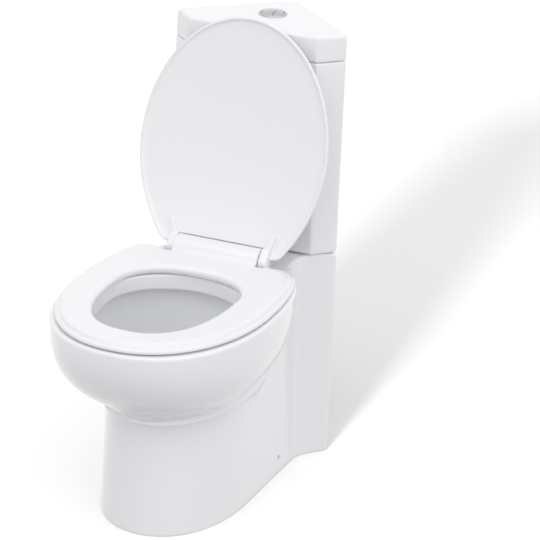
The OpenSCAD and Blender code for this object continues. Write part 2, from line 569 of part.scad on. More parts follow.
module opened() translate([0, hinge_y, hinge_z]) rotate([-cover_open, 0, 0]) translate([0, -hinge_y, -hinge_z]) children();
module cover() color("white") opened() {
    difference() {
        cover_dish();
        translate([-lug_in - 1, cover_notch_y, cover_rim - 5]) cube([lug_in * 2 + 2, 40, 30]);
    }
    cover_lug();
    mirror([1, 0, 0]) cover_lug();
}

// ---------- hinge posts, pins and dampers ----------
module hinge_post(s) mirror([s < 0 ? 1 : 0, 0, 0]) color("gray") difference() {
    union() {
        on_axis(post_in, post_out, 9);
        translate([post_in, hinge_y - post_half, pan_height]) cube([post_out - post_in, post_half * 2, hinge_rise]);
        translate([post_in - 5, hinge_y - 11, pan_height]) cube([post_out - post_in + 5, 22, 1.8]);
    }
    on_axis(post_in - 1, post_out + 1, pin_r);
    translate([stud_x, hinge_y, pan_height - 1]) cylinder(h = 9, r = 3.4, $fn = 32);
}
module hinge_post_left() hinge_post(-1);
module hinge_post_right() hinge_post(1);
module hinge_pin(s) mirror([s < 0 ? 1 : 0, 0, 0]) color("silver") on_axis(post_in, lug_in + lug_width - 4.5, pin_r);
module hinge_pin_left() hinge_pin(-1);
module hinge_pin_right() hinge_pin(1);
module damper(s) mirror([s < 0 ? 1 : 0, 0, 0]) color("lightgray") on_axis(22, post_in - 1.3, damper_r);
module damper_left() damper(-1);
module damper_right() damper(1);
module pair_on_studs(z) for (s = [-1, 1]) translate([s * stud_x, hinge_y, z]) children();
module seat_studs() color("silver") pair_on_studs(pan_height - 60) cylinder(h = 68, r = 3.4, $fn = 32);
module seat_washers() color("dimgray") pair_on_studs(deck_low - 3) tube(13, 3.4, 3);
module seat_wing_nuts() color("ivory") pair_on_studs(deck_low - 15) wing_nut(3.4);

// ---------- floor fixings ----------
pan_inside_x = foot_width / 2 - pan_wall;
module floor_bracket(s) mirror([s < 0 ? 1 : 0, 0, 0]) color("ivory") difference() {
    union() {
        translate([bracket_hole_x - 17, side_screw_y - 20, 0]) cube([pan_inside_x - 0.5 - bracket_hole_x + 17, 40, 5]);
        translate([pan_inside_x - 8.5, side_screw_y - 14, 0]) cube([8, 28, side_screw_z + 13]);
    }
    translate([bracket_hole_x, side_screw_y, -1]) cylinder(h = 7, r = bracket_hole_r, $fn = 32);
    translate([pan_inside_x - 20, side_screw_y, side_screw_z]) rotate([0, 90, 0]) cylinder(h = 30, r = 2.5, $fn = 32);
}
module floor_bracket_left() floor_bracket(-1);
module floor_bracket_right() floor_bracket(1);
side_face_x = foot_width / 2 + 3;
module side_screws() color("silver") for (s = [0, 1]) mirror([s, 0, 0])
    translate([pan_inside_x - 12, side_screw_y, side_screw_z]) rotate([0, 90, 0])
        cylinder(h = side_face_x - 3 - pan_inside_x + 12, r = 2.5, $fn = 32);
module side_caps() color("white") for (s = [0, 1]) mirror([s, 0, 0])
    translate([side_face_x - 7, side_screw_y, side_screw_z]) rotate([0, 90, 0]) difference() {
        cylinder(h = 7.6, r = 4, $fn = 32);
        translate([0, 0, -1]) cylinder(h = 5.5, r = 2.5, $fn = 32);
    }

pan();
cistern_tank();
cistern_lid();
button_bezel();
button_nut();
full_flush_button();
half_flush_button();
flush_valve_body();
flush_valve_piston();
flush_valve_seal();
flush_valve_nut();
tank_washer();
coupling_gasket();
coupling_bolts();
coupling_washers();
coupling_wing_nuts();
fill_valve_body();
fill_valve_washer();
fill_valve_nut();
fill_float();
float_arm();
seat_ring();
seat_buffers();
cover();
hinge_post_left();
hinge_post_right();
hinge_pin_left();
hinge_pin_right();
damper_left();
damper_right();
seat_studs();
seat_washers();
seat_wing_nuts();
floor_bracket_left();
floor_bracket_right();
side_screws();
side_caps();
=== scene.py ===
"""Corner toilet: the looks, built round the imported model. Lengths are in millimetres."""
import json
from math import acos, atan2, cos, exp, hypot, pi, radians, sin, sqrt, tan

import bpy
import bmesh
from mathutils import Matrix, Vector


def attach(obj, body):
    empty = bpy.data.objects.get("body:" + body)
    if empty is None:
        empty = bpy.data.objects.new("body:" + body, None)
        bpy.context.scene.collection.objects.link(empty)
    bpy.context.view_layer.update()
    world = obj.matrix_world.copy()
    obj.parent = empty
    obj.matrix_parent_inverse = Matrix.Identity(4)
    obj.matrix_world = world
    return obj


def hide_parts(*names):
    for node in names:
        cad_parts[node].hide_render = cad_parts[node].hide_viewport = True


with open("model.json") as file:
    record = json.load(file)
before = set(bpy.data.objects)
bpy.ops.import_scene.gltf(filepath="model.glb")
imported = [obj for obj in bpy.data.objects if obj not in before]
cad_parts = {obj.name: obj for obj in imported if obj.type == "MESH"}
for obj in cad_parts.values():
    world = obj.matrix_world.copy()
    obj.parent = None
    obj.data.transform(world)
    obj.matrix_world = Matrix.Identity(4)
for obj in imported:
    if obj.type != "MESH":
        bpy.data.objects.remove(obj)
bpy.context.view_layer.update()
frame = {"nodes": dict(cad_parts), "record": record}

# ---------------------------------------------------------------- sizes
MM = 0.001

# pan: bowl, pedestal foot, wings and deck
PAN_HEIGHT = 402.0
REAR_Y = 385.0
CORNER_FLAT = 17.0
WALL_APEX = REAR_Y + CORNER_FLAT
BOWL_WIDTH = 384.0
BOWL_Y = -122.0
BOWL_FRONT = 263.0
BOWL_BACK = 290.0
BOWL_BASE = 210.0
BOWL_FRONT_POWER = 2.25
BOWL_BACK_POWER = 2.34
BOWL_LONG_POWER = 2.25
BOWL_WIDE_POWER = 3.3
BOWL_ROUND_POWER = 1.8
BOWL_BLEND = 8
FOOT_POWER = 2.13
FOOT_WIDTH = 262.0
NECK_WIDTH = 236.0
WING_WIDTH = 364.0
WING_DRAFT = 5.5
WING_BOW_FOOT = 1.6
WING_BOW_TOP = 2.6
KINK_FLARE_FOOT = 5
KINK_FLARE_TOP = 1
MID_Y = -51.0
KINK_Y = 150.0
FOOT_FRONT = 203.0
FOOT_DRAFT = 6.0
PAN_WALL = 13.0
DECK_LOW = PAN_HEIGHT - 16.0
DECK_MIDDLE_Y = -150
HOLLOW_HALF = 100
HOLLOW_START_Y = 150
HOLLOW_SLOPE = 0.42
OPENING_WIDTH = 230.0
OPENING_FRONT_Y = -327
OPENING_REAR_Y = -6
OPENING_MIDDLE_Y = BOWL_Y + 5
RIM_OVERHANG = 9
LEDGE_Z = 222.0
LEDGE_REACH = 11.0
LEDGE_RISE = 14.0
LEDGE_FADE = 15.0
LEDGE_SIDE_SHARE = 0.8
LEDGE_SIDE_RUN = 90
WING_ROUND = 7.0
REAR_ROUND = 6.0
CORNER_INSET = 0.414
OUTLET_Z = 180.0
SPIGOT_END = 300.0
ARCH_R = 72.0
SUMP_Y = -65.0
SIDE_HOLE_Y = 87.0
SIDE_HOLE_Z = 32.0
SIDE_HOLE_R = 4.4

# cistern, its lid and the flush buttons
TANK_FOOT = 405.0
TANK_FLOOR = 14.0
TANK_WALL = 10.0
SEAM_Z = 772.5
TOP_Z = 823.0
FACE_Y = 188.0
FACE_HALF_FOOT = 137.0
FACE_HALF_TOP = 127.0
TANK_CORNER = 9
LID_CORNER = 11
LID_EDGE = 7.5
LID_FOOT = SEAM_Z + 0.9
LID_UNDER = TOP_Z - 12
LID_LIP = 20
VALVE_Y = 285.0
BOLT_X = 75.0
INLET_X = -95.0
INLET_Y = VALVE_Y - 60
BEZEL_R = 26.5
BUTTON_R = 21.0
SPLIT_X = 6.0
SPLIT_GAP = 0.4
BUTTON_GAP = 0.5

# seat, cover and their hinge
HINGE_Y = 73.0
HINGE_Z = 422.0
SEAT_FOOT = 404.5
SEAT_TOP = 421.0
SEAT_WIDTH = 373.0
SEAT_MID_Y = HINGE_Y - 195.0
SEAT_REAR_Y = HINGE_Y - 3.0
SEAT_SHOULDER = 22.0
SEAT_TIP = 259.5
SEAT_TAIL = 300
OPENING_MID_Y = HINGE_Y - 190.5
OPENING_TIP = 199.5
OPENING_TAIL = 102.0
BARREL_HALF = 82.5
POST_IN = 64
POST_OUT = 76
COVER_RIM = SEAT_TOP + 1.0
COVER_TIP = HINGE_Y - 433.0
COVER_MID_Y = HINGE_Y - 192.0
COVER_REAR_Y = HINGE_Y - 4.0
COVER_NOTCH_Y = HINGE_Y - 25.0
COVER_OPEN = radians(103.5)
COVER_DEPTH = 13.0
COVER_HALF = 183.5
COVER_TAIL = 249
COVER_TAIL_POWER = 1.07
COVER_SHOULDER = 9
STUD_X = 70.0
LUG_IN = BARREL_HALF + 1.0
LUG_WIDTH = 15.0

# how finely the main outlines are divided
FRONT_STEPS = 80
SIDE_STEPS = 10
WING_STEPS = 22
CORNER_STEPS = 6
WALL_STEPS = 4
SEAT_STATIONS = 288
CREASE_ROW = 0.9
BOWL_ROW = 4
HALVINGS = 26
PAN_CREASE = 78.0

# colours and lights
GLAZE_COLOR = (0.890, 0.895, 0.920)
SEAT_COLOR = (0.875, 0.880, 0.900)
CHROME_COLOR = (0.52, 0.53, 0.55)
DUST_COLOR = (0.62, 0.60, 0.57, 1)
FLOOR_SHADE = 0.74
FLOOR_BOUNCE = 0.30
FLOOR_GLOW = 0.06
WORLD_LIGHT = 0.88
SIDE_LIGHT = 0.44
FRONT_LIGHT = 0.43
FLOOR_LIGHT = 3.6

# camera, from a fit to the object's edges in the square photograph
IMAGE_SIDE = 540
FOCAL_PIXELS = 2361.66
CENTRE_PIXEL = (270.21, 268.27)
CAMERA_TURN = 21.62
CAMERA_TILT = 21.77
CAMERA_ROLL = 2.8
CAMERA_PLACE = (1567.81, -3622.03, 2000.32)


def mix(a, b, t):
    return a + (b - a) * t


def smooth(t):
    t = min(max(t, 0.0), 1.0)
    return t * t * (3 - 2 * t)


def arc(x, y, radius, degrees):
    """Points on a circle about (x, y), one for each angle."""
    return [(x + radius * cos(radians(t)), y + radius * sin(radians(t))) for t in degrees]


def round_points(x, y, radius, count):
    """Points all the way round a circle about (x, y)."""
    turns = [2 * pi * i / count for i in range(count)]
    return [(x + radius * cos(t), y + radius * sin(t)) for t in turns]


# ---------------------------------------------------------------- mesh helpers
def new_piece(name, points, faces, material):
    """A mesh object from points, with outward faces."""
    mesh = bpy.data.meshes.new(name)
    mesh.from_pydata([(x * MM, y * MM, z * MM) for x, y, z in points], [], faces)
    piece = bpy.data.objects.new(name, mesh)
    bpy.context.scene.collection.objects.link(piece)
    if material:
        mesh.materials.append(material)
    tidy_mesh(piece)
    return piece


def tidy_mesh(piece, angle=38.0):
    """Merges doubles, drops zero-area faces, turns faces outwards and shades smoothly between creases."""
    work = bmesh.new()
    work.from_mesh(piece.data)
    bmesh.ops.remove_doubles(work, verts=work.verts, dist=2e-6)
    bmesh.ops.dissolve_degenerate(work, edges=work.edges, dist=1e-6)
    bmesh.ops.recalc_face_normals(work, faces=work.faces)
    work.to_mesh(piece.data)
    work.free()
    shade(piece, angle)


def shade(piece, angle):
    piece.data.shade_smooth()
    piece.data.set_sharp_from_angle(angle=radians(angle))


def loop_faces(rows, n, closed=False):
    """Quads between neighbouring loops of n points; a closed skin joins its last loop to its first."""
    faces = []
    for row in range(rows if closed else rows - 1):
        a = row * n
        b = (row + 1) % rows * n
        for i in range(n):
            j = (i + 1) % n
            faces.append((a + i, a + j, b + j, b + i))
    return faces


def skin(name, loops, material, closed=False):
    """Closed skin through loops: a ring of loops, or a run of loops with a flat end at each side."""
    n = len(loops[0])
    points = [p for loop in loops for p in loop]
    faces = loop_faces(len(loops), n, closed)
    if not closed:
        faces.append(tuple(range(n)))
        faces.append(tuple(range(len(points) - 1, len(points) - 1 - n, -1)))
    return new_piece(name, points, faces, material)


def lathe(name, profile, centre, material, steps=96):
    """Turned piece: profile of (radius, height) points round a vertical axis, closed on itself."""
    loops = [[(x, y, z) for x, y in round_points(*centre, r, steps)] for r, z in profile]
    return skin(name, loops, material, closed=True)


def rounded_profile(corners, steps=5):
    """Closed profile with each (a, b, radius) corner rounded by an arc of steps chords."""
    out = []
    n = len(corners)
    for i, (x, y, r) in enumerate(corners):
        before = Vector(corners[i - 1][:2]) - Vector((x, y))
        after = Vector(corners[(i + 1) % n][:2]) - Vector((x, y))
        if r <= 0:
            out.append((x, y))
            continue
        reach = min(r, before.length * 0.49, after.length * 0.49)
        a = Vector((x, y)) + before.normalized() * reach
        b = Vector((x, y)) + after.normalized() * reach
        for k in range(steps + 1):
            t = k / steps
            p = a * (1 - t) ** 2 + Vector((x, y)) * 2 * t * (1 - t) + b * t * t
            out.append((p.x, p.y))
    return out


def curve_rows(rows, steps):
    """Rows of values run through by a smooth curve, with steps rows for each given one."""
    out = []
    last = len(rows) - 1
    for i in range(last):
        p0, p1, p2, p3 = rows[max(i - 1, 0)], rows[i], rows[i + 1], rows[min(i + 2, last)]
        for k in range(steps):
            t = k / steps
            row = []
            for a, b, c, d in zip(p0, p1, p2, p3):
                m1 = (c - a) / 2
                m2 = (d - b) / 2
                h = (2 * t ** 3 - 3 * t * t + 1) * b + (t ** 3 - 2 * t * t + t) * m1
                row.append(h + (3 * t * t - 2 * t ** 3) * c + (t ** 3 - t * t) * m2)
            out.append(tuple(row))
    out.append(tuple(rows[-1]))
    return out


def combine(piece, other, kind="UNION"):
    """Joins other to piece, or cuts it out of piece, and deletes other."""
    step = piece.modifiers.new("combine", "BOOLEAN")
    step.operation = kind
    step.solver = "MANIFOLD"
    step.object = other
    seen = piece.evaluated_get(bpy.context.evaluated_depsgraph_get())
    mesh = bpy.data.meshes.new_from_object(seen)
    old = piece.data
    piece.modifiers.clear()
    piece.data = mesh
    mesh.name = old.name
    bpy.data.meshes.remove(old)
    spare = other.data
    bpy.data.objects.remove(other)
    bpy.data.meshes.remove(spare)
    while len(piece.data.materials) > 1:
        piece.data.materials.pop(index=len(piece.data.materials) - 1)
    piece.data.polygons.foreach_set("material_index", [0] * len(piece.data.polygons))
    tidy_mesh(piece)
    return piece


def rod(name, start, end, radius, material, sides=32):
    """Straight round bar between two points."""
    a, b = Vector(start), Vector(end)
    turn = (b - a).to_track_quat("Z", "Y").to_matrix()
    loops = []
    for at in (a, b):
        ring = [at + turn @ Vector((x, y, 0)) for x, y in round_points(0, 0, radius, sides)]
        loops.append([tuple(p) for p in ring])
    return skin(name, loops, material)


def extruded(name, profile, x_low, x_high, edge, material, steps=4):
    """Solid of a (y, z) profile between two x stations, with its end edges rounded by edge."""
    stations = [(x_low, 0.0), (x_high, 0.0)]
    if edge > 0:
        turns = [pi / 2 * k / steps for k in range(steps + 1)]
        front = [(x_low + edge * (1 - cos(t)), edge * (1 - sin(t))) for t in turns]
        stations = front + [(x_low + x_high - x, inset) for x, inset in reversed(front)]
    loops = [[(x, y, z) for y, z in inset_loop(profile, inset)] for x, inset in stations]
    return skin(name, loops, material)


def inset_loop(loop, d):
    """A closed plane loop drawn in by d along its own normals."""
    if d == 0:
        return list(loop)
    n = len(loop)
    area = sum(loop[i - 1][0] * loop[i][1] - loop[i][0] * loop[i - 1][1] for i in range(n))
    side = 1 if area > 0 else -1
    out = []
    for i in range(n):
        ax, ay = loop[i - 1]
        bx, by = loop[(i + 1) % n]
        length = hypot(bx - ax, by - ay) or 1.0
        out.append((loop[i][0] - side * d * (by - ay) / length, loop[i][1] + side * d * (bx - ax) / length))
    return out


# ---------------------------------------------------------------- outlines of the pan
def oval_half(half, reach, power, dy):
    """Half width of an oval at distance dy from its widest station."""
    if reach <= 0 or abs(dy) >= reach:
        return 0.0
    return half * (1 - (abs(dy) / reach) ** power) ** (1 / power)


def blend_max(a, b, k):
    """The larger of two values, with a soft change from one to the other where they differ by less than k."""
    h = max(k - abs(a - b), 0) / k
    return max(a, b) + h * h * k / 4


def bowl_drop(z):
    """How far down the bowl a height lies, from 0 at the rim to 1 at the base."""
    top = PAN_HEIGHT - 2
    return min(max((top - z) / (top - BOWL_BASE), 0), 1)


def bowl_share_long(z):
    return (1 - bowl_drop(z) ** BOWL_LONG_POWER) ** (1 / BOWL_ROUND_POWER)


def bowl_share_wide(z):
    return (1 - bowl_drop(z) ** BOWL_WIDE_POWER) ** (1 / BOWL_ROUND_POWER)


def ledge(z):
    """How far the pedestal flares out under the bowl."""
    if z > LEDGE_Z:
        return LEDGE_REACH * (1 - smooth((z - LEDGE_Z) / LEDGE_RISE))
    return LEDGE_REACH * exp(-(LEDGE_Z - z) / LEDGE_FADE)


def foot_y(z):
    return MID_Y - FOOT_FRONT + FOOT_DRAFT * z / PAN_HEIGHT - ledge(z)


def bowl_tip_y(z):
    return BOWL_Y - BOWL_FRONT * bowl_share_long(z)


def side_half(y, z):
    """Half width of the pedestal."""
    h = z / PAN_HEIGHT
    waist = mix(FOOT_WIDTH, NECK_WIDTH, h) / 2
    if y < MID_Y:
        return oval_half(waist + ledge(z) * LEDGE_SIDE_SHARE, MID_Y - foot_y(z), FOOT_POWER, MID_Y - y)
    flare = ledge(z) * LEDGE_SIDE_SHARE * (1 - smooth((y - MID_Y) / LEDGE_SIDE_RUN))
    back = min(y, KINK_Y) - MID_Y
    return waist + flare + mix(KINK_FLARE_FOOT, KINK_FLARE_TOP, h) * back / (KINK_Y - MID_Y)


def bowl_half(y, z):
    half = BOWL_WIDTH / 2 * bowl_share_wide(z)
    if y < BOWL_Y:
        return oval_half(half, BOWL_FRONT * bowl_share_long(z), BOWL_FRONT_POWER, BOWL_Y - y)
    return oval_half(half, BOWL_BACK * bowl_share_long(z), BOWL_BACK_POWER, y - BOWL_Y)


def body_half(y, z):
    """Half width of bowl and pedestal together."""
    a = side_half(y, z)
    b = bowl_half(y, z)
    if a == 0 or b == 0:
        return a + b
    return blend_max(a, b, min(BOWL_BLEND, a, b))


def wing_x(z):
    return WING_WIDTH / 2 - WING_DRAFT * z / PAN_HEIGHT


def wing_half(u, z):
    """Half width at share u of the way from the pedestal's kink to the wing's edge."""
    start = side_half(KINK_Y, z)
    return start + (wing_x(z) - start) * u ** mix(WING_BOW_FOOT, WING_BOW_TOP, z / PAN_HEIGHT)


def bend(a, corner, b, steps):
    """Points of a round corner from a to b, without a itself."""
    out = []
    for k in range(1, steps + 1):
        t = k / steps
        near, middle, far = (1 - t) ** 2, 2 * t, t * t
        out.append(tuple(p * near + q * middle * (1 - t) + r * far for p, q, r in zip(a, corner, b)))
    return out


def front_point(angle, tip_reach, z):
    """Where a line from the pedestal's middle, at an angle from the front, meets the outline at height z."""
    inside, outside = 0.0, max(tip_reach, BOWL_WIDTH)
    for _ in range(HALVINGS):
        middle = (inside + outside) / 2
        x, y = middle * sin(angle), MID_Y - middle * cos(angle)
        if body_half(y, z) > x:
            inside = middle
        else:
            outside = middle
    return (inside * sin(angle), MID_Y - inside * cos(angle))


def pan_half_outline(z, d=0.0):
    """Right half of the pan's outline at height z, drawn in by d, from the front tip to the rear."""
    tip = min(foot_y(z), bowl_tip_y(z))
    front = [(0.0, tip)]
    for i in range(1, FRONT_STEPS + 1):
        front.append(front_point(pi / 2 * i / FRONT_STEPS, MID_Y - tip, z))
    for k in range(1, SIDE_STEPS + 1):
        y = mix(MID_Y, KINK_Y, k / SIDE_STEPS)
        front.append((body_half(y, z), y))
    points = [(0.0, tip + d)]
    for i in range(1, len(front)):
        ahead = front[min(i + 1, len(front) - 1)]
        behind = front[i - 1]
        dx, dy = ahead[0] - behind[0], ahead[1] - behind[1]
        length = hypot(dx, dy)
        points.append((max(front[i][0] - d * dy / length, 0.3 * i), front[i][1] + d * dx / length))
    # the wing's face, its rounded edge, the wall side, and the flat at the back
    corner = (wing_x(z) - d, WALL_APEX - wing_x(z) - CORNER_INSET * d)
    stop = 1 - WING_ROUND / (corner[1] - KINK_Y)
    for k in range(1, WING_STEPS + 1):
        u = stop * k / WING_STEPS
        points.append((wing_half(u, z) - d, mix(KINK_Y, corner[1], u)))
    slant = WING_ROUND / sqrt(2)
    wall_start = (corner[0] - slant, corner[1] + slant)
    points += bend(points[-1], corner, wall_start, CORNER_STEPS)
    rear = (CORNER_FLAT - CORNER_INSET * d, REAR_Y - d)
    slant = REAR_ROUND / sqrt(2)
    wall_end = (rear[0] + slant, rear[1] - slant)
    for k in range(1, WALL_STEPS + 1):
        points.append(tuple(mix(p, q, k / WALL_STEPS) for p, q in zip(wall_start, wall_end)))
    points += bend(wall_end, rear, (rear[0] - REAR_ROUND, rear[1]), CORNER_STEPS)
    points.append((0.0, rear[1]))
    return points


def whole(half, z):
    """Closed loop from a right half that starts and ends on the centre line."""
    left = [(-x, y) for x, y in reversed(half[1:-1])]
    return [(x, y, z) for x, y in half + left]


def pan_loop(z, d=0.0):
    return whole(pan_half_outline(z, d), z)


def deck_angles():
    """Angle round the bowl for each point of the pan's outline, so that the deck's faces don't cross."""
    half = pan_half_outline(PAN_HEIGHT)
    bowl_count = FRONT_STEPS + SIDE_STEPS
    angles = []
    for i, (x, y) in enumerate(half):
        if i <= bowl_count:
            angles.append(atan2(x, DECK_MIDDLE_Y - y))
    kink = angles[-1]
    rest = len(half) - 1 - bowl_count
    angles += [mix(kink, pi, k / rest) for k in range(1, rest + 1)]
    return angles + [2 * pi - a for a in reversed(angles[1:-1])]


RING = deck_angles()


def oval_ring(half, y_front, y_rear, y_wide, z):
    """Oval loop with its own reach to the front and to the rear."""
    out = []
    for a in RING:
        reach = y_wide - y_front if cos(a) > 0 else y_rear - y_wide
        out.append((half * sin(a), y_wide - reach * cos(a), z))
    return out


def tube_ring(y, z, radius, turn):
    """Round loop on the centre plane; turn 0 faces down, a quarter turn faces the rear."""
    out = []
    for a in RING:
        ahead = radius * cos(a)
        out.append((radius * sin(a), y - ahead * cos(turn), z - ahead * sin(turn)))
    return out


# ---------------------------------------------------------------- pan
# half width, front, rear and depth under the rim of the bowl's inside
BOWL_INSIDE = [
    (147, -349, 20, 31.5), (151, -353, 23, 42), (150, -352, 22, 58), (143, -330, 17, 92),
    (130, -300, 11, 125), (112, -266, 5, 156), (90, -230, 0, 183), (70, -195, -6, 206), (54, -158, -14, 224)]
# station, height, radius and turn of the trap's way, from the bowl to the outlet
TRAP_WAY = [
    (-82, 163, 40, 0.25), (-72, 153, 37, 0.8), (-50, 150, 36, 1.35), (-20, 158, 36, 1.85),
    (20, 190, 36, 2.1), (55, 222, 36, 2.0), (85, 238, 36, 1.55), (112, 228, 36, 1.05),
    (134, 205, 37, 0.85), (158, 186, 39, 1.2), (195, 180, 41, pi / 2)]


def bowl_rings(wall):
    """Loops down the bowl's inside, or round its shell when wall is above zero."""
    loops = []
    for half, front, rear, depth in curve_rows(BOWL_INSIDE, 4):
        y_wide = mix(OPENING_MIDDLE_Y, SUMP_Y, min(depth / 250, 1))
        z = PAN_HEIGHT - depth - wall * 0.8
        loops.append(oval_ring(half + wall, front - wall * 0.9, rear + wall, y_wide, z))
    return loops


def trap_rings(wall):
    """Loops along the trap's way, or round its shell when wall is above zero."""
    return [tube_ring(y, z, radius + wall, turn) for y, z, radius, turn in curve_rows(TRAP_WAY, 4)]


def deck_row(outer, inner, share, z):
    """Loop across the flat deck between the pan's edge and the opening, inside the wings' hollows."""
    out = []
    bowl_count = FRONT_STEPS + SIDE_STEPS
    n = len(outer)
    for i, (a, b) in enumerate(zip(outer, inner)):
        side = min(i, n - i)
        if side <= bowl_count:
            x, y = mix(a[0], b[0], share), mix(a[1], b[1], share)
        else:
            x, y = a[0], a[1]
        limit = HOLLOW_HALF + max(0.0, HOLLOW_START_Y - a[1]) * HOLLOW_SLOPE
        out.append((max(-limit, min(limit, x)), y, z))
    return out


def pan_levels():
    """Heights of the outside's loops, closest where the bowl leaves the pedestal."""
    levels = [5, 12, 22, 34, 46] + list(range(60, 131, 14)) + [142, 152, 162, 172, 181, 188, 194, 199]
    levels += [204, 208, 212, 215.5, 218.5, 220.5]
    levels += [LEDGE_Z + CREASE_ROW * k for k in range(92)]
    levels += [307 + BOWL_ROW * k for k in range(19)]
    levels += [384, 388, 392, 395.5]
    return levels


def pan_outside():
    """Loops up the outside and over the deck's rounded edge."""
    loops = []
    foot_round = 3.0
    for k in range(5):
        t = pi / 2 * k / 4
        loops.append(pan_loop(foot_round * (1 - cos(t)), foot_round * (1 - sin(t))))
    loops += [pan_loop(z) for z in pan_levels()]
    edge_round = 6.0
    for k in range(1, 8):
        t = pi / 2 * k / 7
        loops.append(pan_loop(PAN_HEIGHT - edge_round * (1 - sin(t)), edge_round * (1 - cos(t))))
    return loops


def opening_ring(d, depth):
    """Loop of the rim's opening, widened by d, at a depth under the deck."""
    half = OPENING_WIDTH / 2 + RIM_OVERHANG + d
    return oval_ring(half, OPENING_FRONT_Y - d, OPENING_REAR_Y + d, OPENING_MIDDLE_Y, PAN_HEIGHT - depth)


def opening_rings():
    """Loops over the rim's inner edge, down its wall and back under it."""
    top_edge = 5.0
    low_edge = 4.0
    low_start = 26
    turns = [pi / 2 * k / 6 for k in range(7)]
    loops = [opening_ring(top_edge * (1 - sin(t)), top_edge * (1 - cos(t))) for t in turns]
    loops += [opening_ring(0, 12), opening_ring(0, 20)]
    return loops + [opening_ring(low_edge * (1 - cos(t)), low_start + low_edge * sin(t)) for t in turns]


def spigot_rings(stations):
    """Round loops of the outlet spigot, one for each (station, radius)."""
    return [tube_ring(y, OUTLET_Z, radius, pi / 2) for y, radius in stations]


def make_pan(material):
    """One closed casting: outside, deck, bowl, trap, spigot, and back round the inside of the wall."""
    outside = pan_outside()
    opening = opening_rings()
    deck = [deck_row(outside[-1], opening[0], s, PAN_HEIGHT) for s in (0.06, 0.35)]
    loops = outside + deck + opening + bowl_rings(0) + trap_rings(0)
    loops += spigot_rings([(230, 41), (270, 41), (SPIGOT_END - 1.5, 41)])
    loops += spigot_rings([(SPIGOT_END, 42.5), (SPIGOT_END, 49.5), (SPIGOT_END - 1.5, 51)])
    loops += spigot_rings([(260, 51), (215, 51), (203, 51), (200, 50)])
    loops += list(reversed(trap_rings(9))) + list(reversed(bowl_rings(11)))
    shell_half = OPENING_WIDTH / 2 + 20
    rim_shell = [oval_ring(shell_half, -338, 5, OPENING_MIDDLE_Y, z) for z in (PAN_HEIGHT - 33, DECK_LOW)]
    inner_top = pan_loop(DECK_LOW, PAN_WALL)
    loops += rim_shell + [deck_row(inner_top, rim_shell[-1], 0.35, DECK_LOW), inner_top]
    inner_levels = (370, 340, 310, 285, 262, 245, 230, 218, 206, 190, 160, 120, 70, 25, 3)
    loops += [pan_loop(z, PAN_WALL) for z in inner_levels] + [pan_loop(0, PAN_WALL - 3)]
    pan = skin("pan_casting", loops, material, closed=True)
    for side in (-1, 1):
        combine(pan, side_hole(side), "DIFFERENCE")
    combine(pan, pipe_arch(), "DIFFERENCE")
    shade(pan, PAN_CREASE)
    return pan


def side_hole(side):
    x = side * FOOT_WIDTH / 2
    start, end = [(x + reach, SIDE_HOLE_Y, SIDE_HOLE_Z) for reach in (-25, 25)]
    return rod("side_hole", start, end, SIDE_HOLE_R, None)


def pipe_arch():
    """Room for the waste pipe and the water supply through the pan's back."""
    outline = arc(0, OUTLET_Z, ARCH_R, range(180, -1, -6)) + [(ARCH_R, -20.0), (-ARCH_R, -20.0)]
    loops = [[(x, y, z) for x, z in outline] for y in (SPIGOT_END, REAR_Y + 40)]
    return skin("pipe_arch", loops, None)


# ---------------------------------------------------------------- cistern
def tank_corners(face_half, d):
    """Six corners of the cistern's outline, drawn in by d, anticlockwise from the front right."""
    apex = WALL_APEX - d * sqrt(2)
    front = FACE_Y + d
    k = face_half - FACE_Y - d * sqrt(2)
    rear = REAR_Y - d
    half = [(k + front, front), ((apex + k) / 2, (apex - k) / 2), (apex - rear, rear)]
    return half + [(-x, y) for x, y in reversed(half)]


def face_half_at(z):
    """Half width of the cistern's front face, which narrows upwards."""
    return mix(FACE_HALF_FOOT, FACE_HALF_TOP, (z - TANK_FOOT) / (TOP_Z - TANK_FOOT))


def tank_loop(z, d, radius, arc_steps=7, edge_steps=8):
    """Closed loop of the cistern's outline: round corners, and points close to them along each edge."""
    corners = [Vector(c) for c in tank_corners(face_half_at(z), d)]
    n = len(corners)
    arcs = []
    for i, c in enumerate(corners):
        r = min(radius, REAR_ROUND) if i in (2, 3) else radius
        r = max(r - d, 1.2)
        a = (corners[i - 1] - c).normalized()
        b = (corners[(i + 1) % n] - c).normalized()
        half_angle = acos(max(-1, min(1, a.dot(b)))) / 2
        reach = min(r / tan(half_angle), 8.0)
        r = reach * tan(half_angle)
        middle = c + (a + b).normalized() * r / sin(half_angle)
        start = c + a * reach - middle
        sweep = pi - 2 * half_angle
        turned = []
        for k in range(arc_steps + 1):
            t = sweep * k / arc_steps
            x = start.x * cos(t) - start.y * sin(t)
            turned.append(middle + Vector((x, start.x * sin(t) + start.y * cos(t))))
        arcs.append(turned)
    loop = []
    for i, turned in enumerate(arcs):
        loop += turned
        a, b = turned[-1], arcs[(i + 1) % n][0]
        near = min(2.0 / (b - a).length, 0.3)
        shares = [near] + [mix(near, 1 - near, k / edge_steps) for k in range(1, edge_steps)] + [1 - near]
        loop += [a.lerp(b, s) for s in shares]
    return [(p.x, p.y, z) for p in loop]


